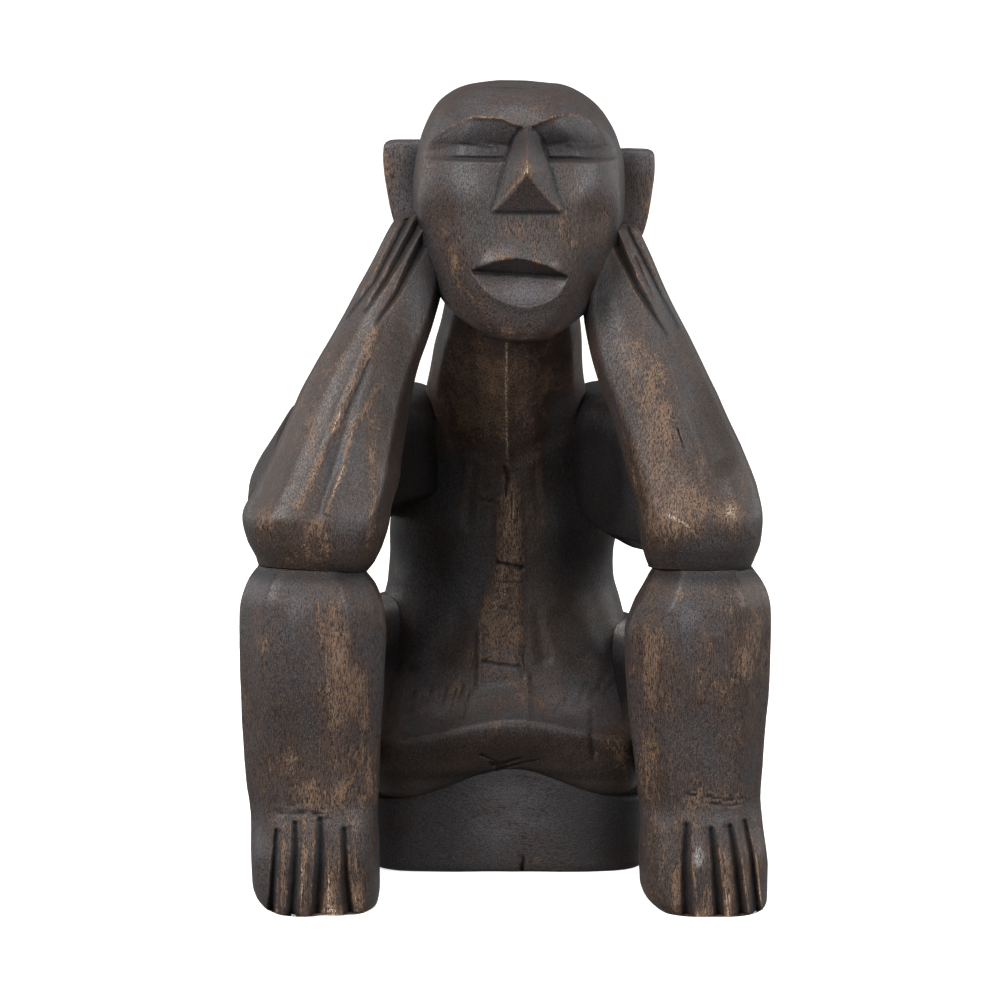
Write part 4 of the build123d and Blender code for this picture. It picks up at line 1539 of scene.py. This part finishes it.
@dataclass(frozen=True)
class EbonisedHardwood:
    """Open-pored tropical hardwood, carved by hand, stained near black, rubbed back and waxed.

    The eye sees a charcoal coat, bluish here and brownish there, worn through to ragged brown patches in
    which the stain still sits in short pores along the grain, and pale lines along crisp edges. The blue-grey
    and pale grey coats also paint sheen and highlights, and the dark mask paints shade as well as stain.
    Sizes of the marks are in mm.
    """

    grain: Grain = Grain.UPRIGHT
    # The pale grey below paints highlights. The blue-grey after it is partly a wax bloom and partly painted
    # sheen.
    highlight_grey: str = "#a09d9b"
    bloom_and_sheen: str = "#5b585b"
    coat_cool: str = "#373537"
    coat_warm: str = "#312925"
    coat_deep: str = "#0e0d0e"
    wood: str = "#46362d"
    wood_light: str = "#66503f"
    pale: str = "#b19a86"
    cloud: float = 34.0
    patch: float = 8.0
    fray: float = 1.4
    pore: float = 0.48
    speck: float = 0.85
    dust: float = 0.5

    def material(self) -> bpy.types.Material:
        """Builds the finish.

        Returns:
            The material.
        """
        made = bpy.data.materials.new(f"ebonised_hardwood_{self.grain.name.lower()}_grain")
        made.use_nodes = True
        tree = made.node_tree
        tree.nodes.clear()
        place = add(tree, "ShaderNodeTexCoord", {}).outputs["Object"]

        def marks(
            width: float, stretch: float, detail: float, roughness: float = 0.6
        ) -> bpy.types.NodeSocket:
            """Noise in marks of a width in mm, drawn out along the grain."""
            size = [1.0 / (width * MM)] * 3
            size[self.grain.value] /= stretch
            drawn = add(tree, "ShaderNodeMapping", {"Vector": place, "Scale": size}).outputs[0]
            noise = add(tree, "ShaderNodeTexNoise",
                        {"Vector": drawn, "Scale": 1.0, "Detail": detail, "Roughness": roughness})
            return noise.outputs["Fac"]

        def weigh(first: object, share: float, second: object) -> bpy.types.NodeSocket:
            """The first value plus a share of the second, not held between limits."""
            made = add(tree, "ShaderNodeMath", {0: second, 1: share, 2: first}, operation="MULTIPLY_ADD")
            return made.outputs[0]

        def held(share: bpy.types.NodeSocket, by: object) -> bpy.types.NodeSocket:
            """A share held back by a factor."""
            return maths(tree, "MULTIPLY", share, by)

        worn, dark, tint = (
            add(tree, "ShaderNodeAttribute", {}, attribute_name=label).outputs["Fac"]
            for label in ("worn", "dark", "tint")
        )
        cloud = marks(self.cloud, 1.5, 3.0)
        patch = marks(self.patch, 2.6, 5.0, 0.7)
        fray = marks(self.fray, 5.0, 3.0)
        pore = marks(self.pore, 6.0, 1.0)
        speck = marks(self.speck, 1.3, 2.0, 0.7)
        dust = marks(self.dust, 1.6, 1.0)

        wear = weigh(weigh(weigh(weigh(-1.36, 0.9, worn), 1.1, cloud), 1.2, patch), -0.5, dark)
        wear = weigh(weigh(weigh(wear, 0.9, speck), 0.7, fray), 1.0, -0.40)
        bared = ramp(tree, wear, 0.42, 0.58)
        thin = ramp(tree, wear, -0.05, 0.50)
        bright = ramp(tree, weigh(weigh(weigh(-0.5, 0.95, worn), 0.5, patch), 0.6, speck), 0.78, 1.18)
        pores = ramp(tree, pore, 0.50, 0.39)

        lean = weigh(cloud, 0.3, tint)
        coat = blend(tree, ramp(tree, lean, 0.38, 0.62), linear(self.coat_cool), linear(self.coat_warm))
        # Painted sheen: the coat goes blue-grey where the tone runs negative, and further on it goes to the
        # pale grey painted highlight.
        sheen_bloomed = held(ramp(tree, weigh(tint, 1.2, cloud), -0.1, -1.5), 0.9)
        coat = blend(tree, sheen_bloomed, coat, linear(self.bloom_and_sheen))
        coat = blend(tree, ramp(tree, tint, -1.8, -3.0), coat, linear(self.highlight_grey))
        coat = blend(tree, held(ramp(tree, dust, 0.56, 0.34), 0.7), coat, linear(self.coat_deep))
        coat = blend(tree, held(ramp(tree, dust, 0.56, 0.74), 0.45), coat, linear(self.wood_light))
        coat = blend(tree, held(thin, 0.6), coat, linear(self.wood))
        figure = ramp(tree, weigh(weigh(0.0, 0.5, patch), 0.5, dust), 0.40, 0.62)
        wood = blend(tree, figure, linear(self.wood), linear(self.wood_light))
        wood = blend(tree, held(bright, ramp(tree, dust, 0.34, 0.60)), wood, linear(self.pale))
        colour = blend(tree, bared, coat, wood)
        open_pore = held(pores, weigh(0.34, 0.5, thin))
        # Here the dark mask, stain and painted shade alike, blends the colour to the deepest coat.
        shade = maths(tree, "MAXIMUM", open_pore, held(dark, 0.85))
        colour = blend(tree, shade, colour, linear(self.coat_deep))

        relief = weigh(weigh(0.0, 0.5, speck), -0.9, pores)
        bump = add(tree, "ShaderNodeBump", {"Strength": 0.4, "Distance": 0.35 * MM, "Height": relief})
        rough, gloss = (
            add(tree, "ShaderNodeMapRange", {"Value": share, "To Min": low, "To Max": high}).outputs[0]
            for share, low, high in ((bared, 0.40, 0.58), (dark, 0.26, 0.07))
        )
        skin = add(tree, "ShaderNodeBsdfPrincipled",
                   {"Base Color": colour, "Roughness": rough, "Specular IOR Level": gloss,
                    "Normal": bump.outputs["Normal"]})
        add(tree, "ShaderNodeOutputMaterial", {"Surface": skin.outputs["BSDF"]})
        return made


@dataclass(frozen=True)
class TurnedBeech:
    """Bare beech dowels, turned and fluted: pale pink-brown with fine flecks along the grain."""

    light: str = "#c79f73"
    shadow: str = "#a87d52"
    fleck: float = 1.2

    def material(self) -> bpy.types.Material:
        """Builds the finish.

        Returns:
            The material.
        """
        made = bpy.data.materials.new("turned_beech")
        made.use_nodes = True
        tree = made.node_tree
        tree.nodes.clear()
        place = add(tree, "ShaderNodeTexCoord", {}).outputs["Object"]
        noise = add(tree, "ShaderNodeTexNoise",
                    {"Vector": place, "Scale": 1.0 / (self.fleck * MM), "Detail": 3.0}).outputs["Fac"]
        colour = blend(tree, ramp(tree, noise, 0.35, 0.65), linear(self.shadow), linear(self.light))
        bump = add(tree, "ShaderNodeBump", {"Strength": 0.2, "Distance": 0.2 * MM, "Height": noise})
        skin = add(tree, "ShaderNodeBsdfPrincipled",
                   {"Base Color": colour, "Roughness": 0.6, "Normal": bump.outputs["Normal"]})
        add(tree, "ShaderNodeOutputMaterial", {"Surface": skin.outputs["BSDF"]})
        return made


@dataclass
class Studio:
    """A white studio: a pale floor, a white surround, soft lights and the camera.

    Attributes:
        eye: The camera's place in mm.
        pitch: How far it looks down, in degrees.
        lens: Its focal length in mm.
        floor: The floor's colour.
        glow: How brightly the paper is lit through from behind.
        reach: Half the floor's size in mm.
        back: How far behind the figure the floor has become a wall, in mm.
        bend: The radius of the sweep between them, in mm.
        sky: How brightly the surround shines.
        aim: Where the lights face, in mm.
        sensor: The width of the camera's sensor in mm.
        far: How far the camera sees, in m.
    """

    eye: Point = (-2.5, -1992.5, 530.0)
    pitch: float = 9.72
    lens: float = 144.2
    floor: str = "#f4f3f1"
    glow: float = 0.75
    reach: float = 6000.0
    back: float = 3600.0
    bend: float = 1600.0
    sky: float = 0.24
    aim: Point = (0.0, 0.0, 200.0)
    sensor: float = 36.0
    far: float = 50.0

    def ground(self) -> None:
        """Lays the floor and sweeps it up behind the figure: flat, then a quarter circle, then a wall."""
        turn = np.linspace(0.0, 0.5 * np.pi, 24)
        y = np.concatenate([[-self.reach], self.back - self.bend + self.bend * np.sin(turn), [self.back]])
        z = np.concatenate([[0.0], self.bend * (1.0 - np.cos(turn)), [self.reach]])
        x = np.array([-self.reach, self.reach])
        places = np.broadcast_arrays(x[None, :], y[:, None], z[:, None])
        corners = np.stack(places, axis=-1).reshape(-1, 3) * MM
        step = 2 * np.arange(len(y) - 1)[:, None]
        mesh = bpy.data.meshes.new("floor")
        mesh.from_pydata(corners.tolist(), [], (step + np.array([0, 1, 3, 2])).tolist())
        mesh.shade_smooth()
        floor = bpy.data.objects.new("floor", mesh)
        bpy.context.scene.collection.objects.link(floor)
        made = bpy.data.materials.new("white_paper_sweep")
        made.use_nodes = True
        skin = made.node_tree.nodes["Principled BSDF"]
        skin.inputs["Base Color"].default_value = linear(self.floor)
        skin.inputs["Roughness"].default_value = 0.9
        skin.inputs["Emission Color"].default_value = linear(self.floor)
        skin.inputs["Emission Strength"].default_value = self.glow
        mesh.materials.append(made)
        floor.visible_diffuse = floor.visible_glossy = False
        floor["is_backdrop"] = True

    def lamp(self, name: str, place: Point, size: float, power: float) -> None:
        """Hangs a square soft light that faces the figure's middle.

        Args:
            name: The light's name.
            place: Where it hangs, in mm.
            size: Its side in mm.
            power: Its power in watts.
        """
        light = bpy.data.lights.new(name, "AREA")
        light.energy = power
        light.size = size * MM
        lamp = bpy.data.objects.new(name, light)
        lamp.location = Vector(place) * MM
        aim = Vector(self.aim) * MM - lamp.location
        lamp.rotation_euler = aim.to_track_quat("-Z", "Y").to_euler()
        bpy.context.scene.collection.objects.link(lamp)

    def surround(self) -> None:
        """Fills the surround with white light."""
        world = bpy.data.worlds.new("white_surround")
        world.use_nodes = True
        background = world.node_tree.nodes["Background"]
        background.inputs["Color"].default_value = (1.0, 1.0, 1.0, 1.0)
        background.inputs["Strength"].default_value = self.sky
        bpy.context.scene.world = world
        bpy.context.scene.view_settings.view_transform = "Standard"

    def camera(self) -> None:
        """Sets the camera at the photograph's viewing angle."""
        lens = bpy.data.cameras.new("camera")
        lens.lens = self.lens
        lens.sensor_width = self.sensor
        lens.clip_end = self.far
        eye = bpy.data.objects.new("camera", lens)
        eye.location = Vector(self.eye) * MM
        eye.rotation_euler = (np.radians(90.0 - self.pitch), 0.0, 0.0)
        bpy.context.scene.collection.objects.link(eye)
        bpy.context.scene.camera = eye

    def build(self) -> None:
        """Sets up the whole studio."""
        self.ground()
        self.surround()
        self.lamp("key", (-1600.0, -1700.0, 1500.0), 1200.0, 104.0)
        self.lamp("fill", (1900.0, -1300.0, 1000.0), 1200.0, 55.0)
        self.lamp("top", (-100.0, -900.0, 2300.0), 900.0, 26.0)
        self.lamp("front", (200.0, -2700.0, 350.0), 1400.0, 12.0)
        self.lamp("rim_right", (-1900.0, 900.0, 700.0), 1400.0, 15.0)
        self.lamp("rim_left", (1900.0, 900.0, 700.0), 1400.0, 15.0)
        self.camera()


def main() -> None:
    """Builds the figure's blocks in order, dresses them and sets up the studio."""
    logging.basicConfig(level=logging.INFO, format="%(name)s %(message)s")
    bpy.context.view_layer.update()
    woods = {
        Grain.UPRIGHT: EbonisedHardwood().material(),
        Grain.ACROSS: EbonisedHardwood(Grain.ACROSS, wood="#3a302b", wood_light="#4f423a").material(),
    }
    blocks: list[Block] = [seat_block(), trunk(), head()]
    for side in Side:
        blocks += [lower_leg(side), thigh(side), forearm(side), upper_arm(side), ear(side)]
    for block in blocks:
        block.dress(block.build(), woods)
    beech = TurnedBeech().material()
    for name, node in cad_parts.items():
        if "dowel" in name:
            node.data.materials.clear()
            node.data.materials.append(beech)
    Studio().build()


if __name__ == "__main__":
    main()
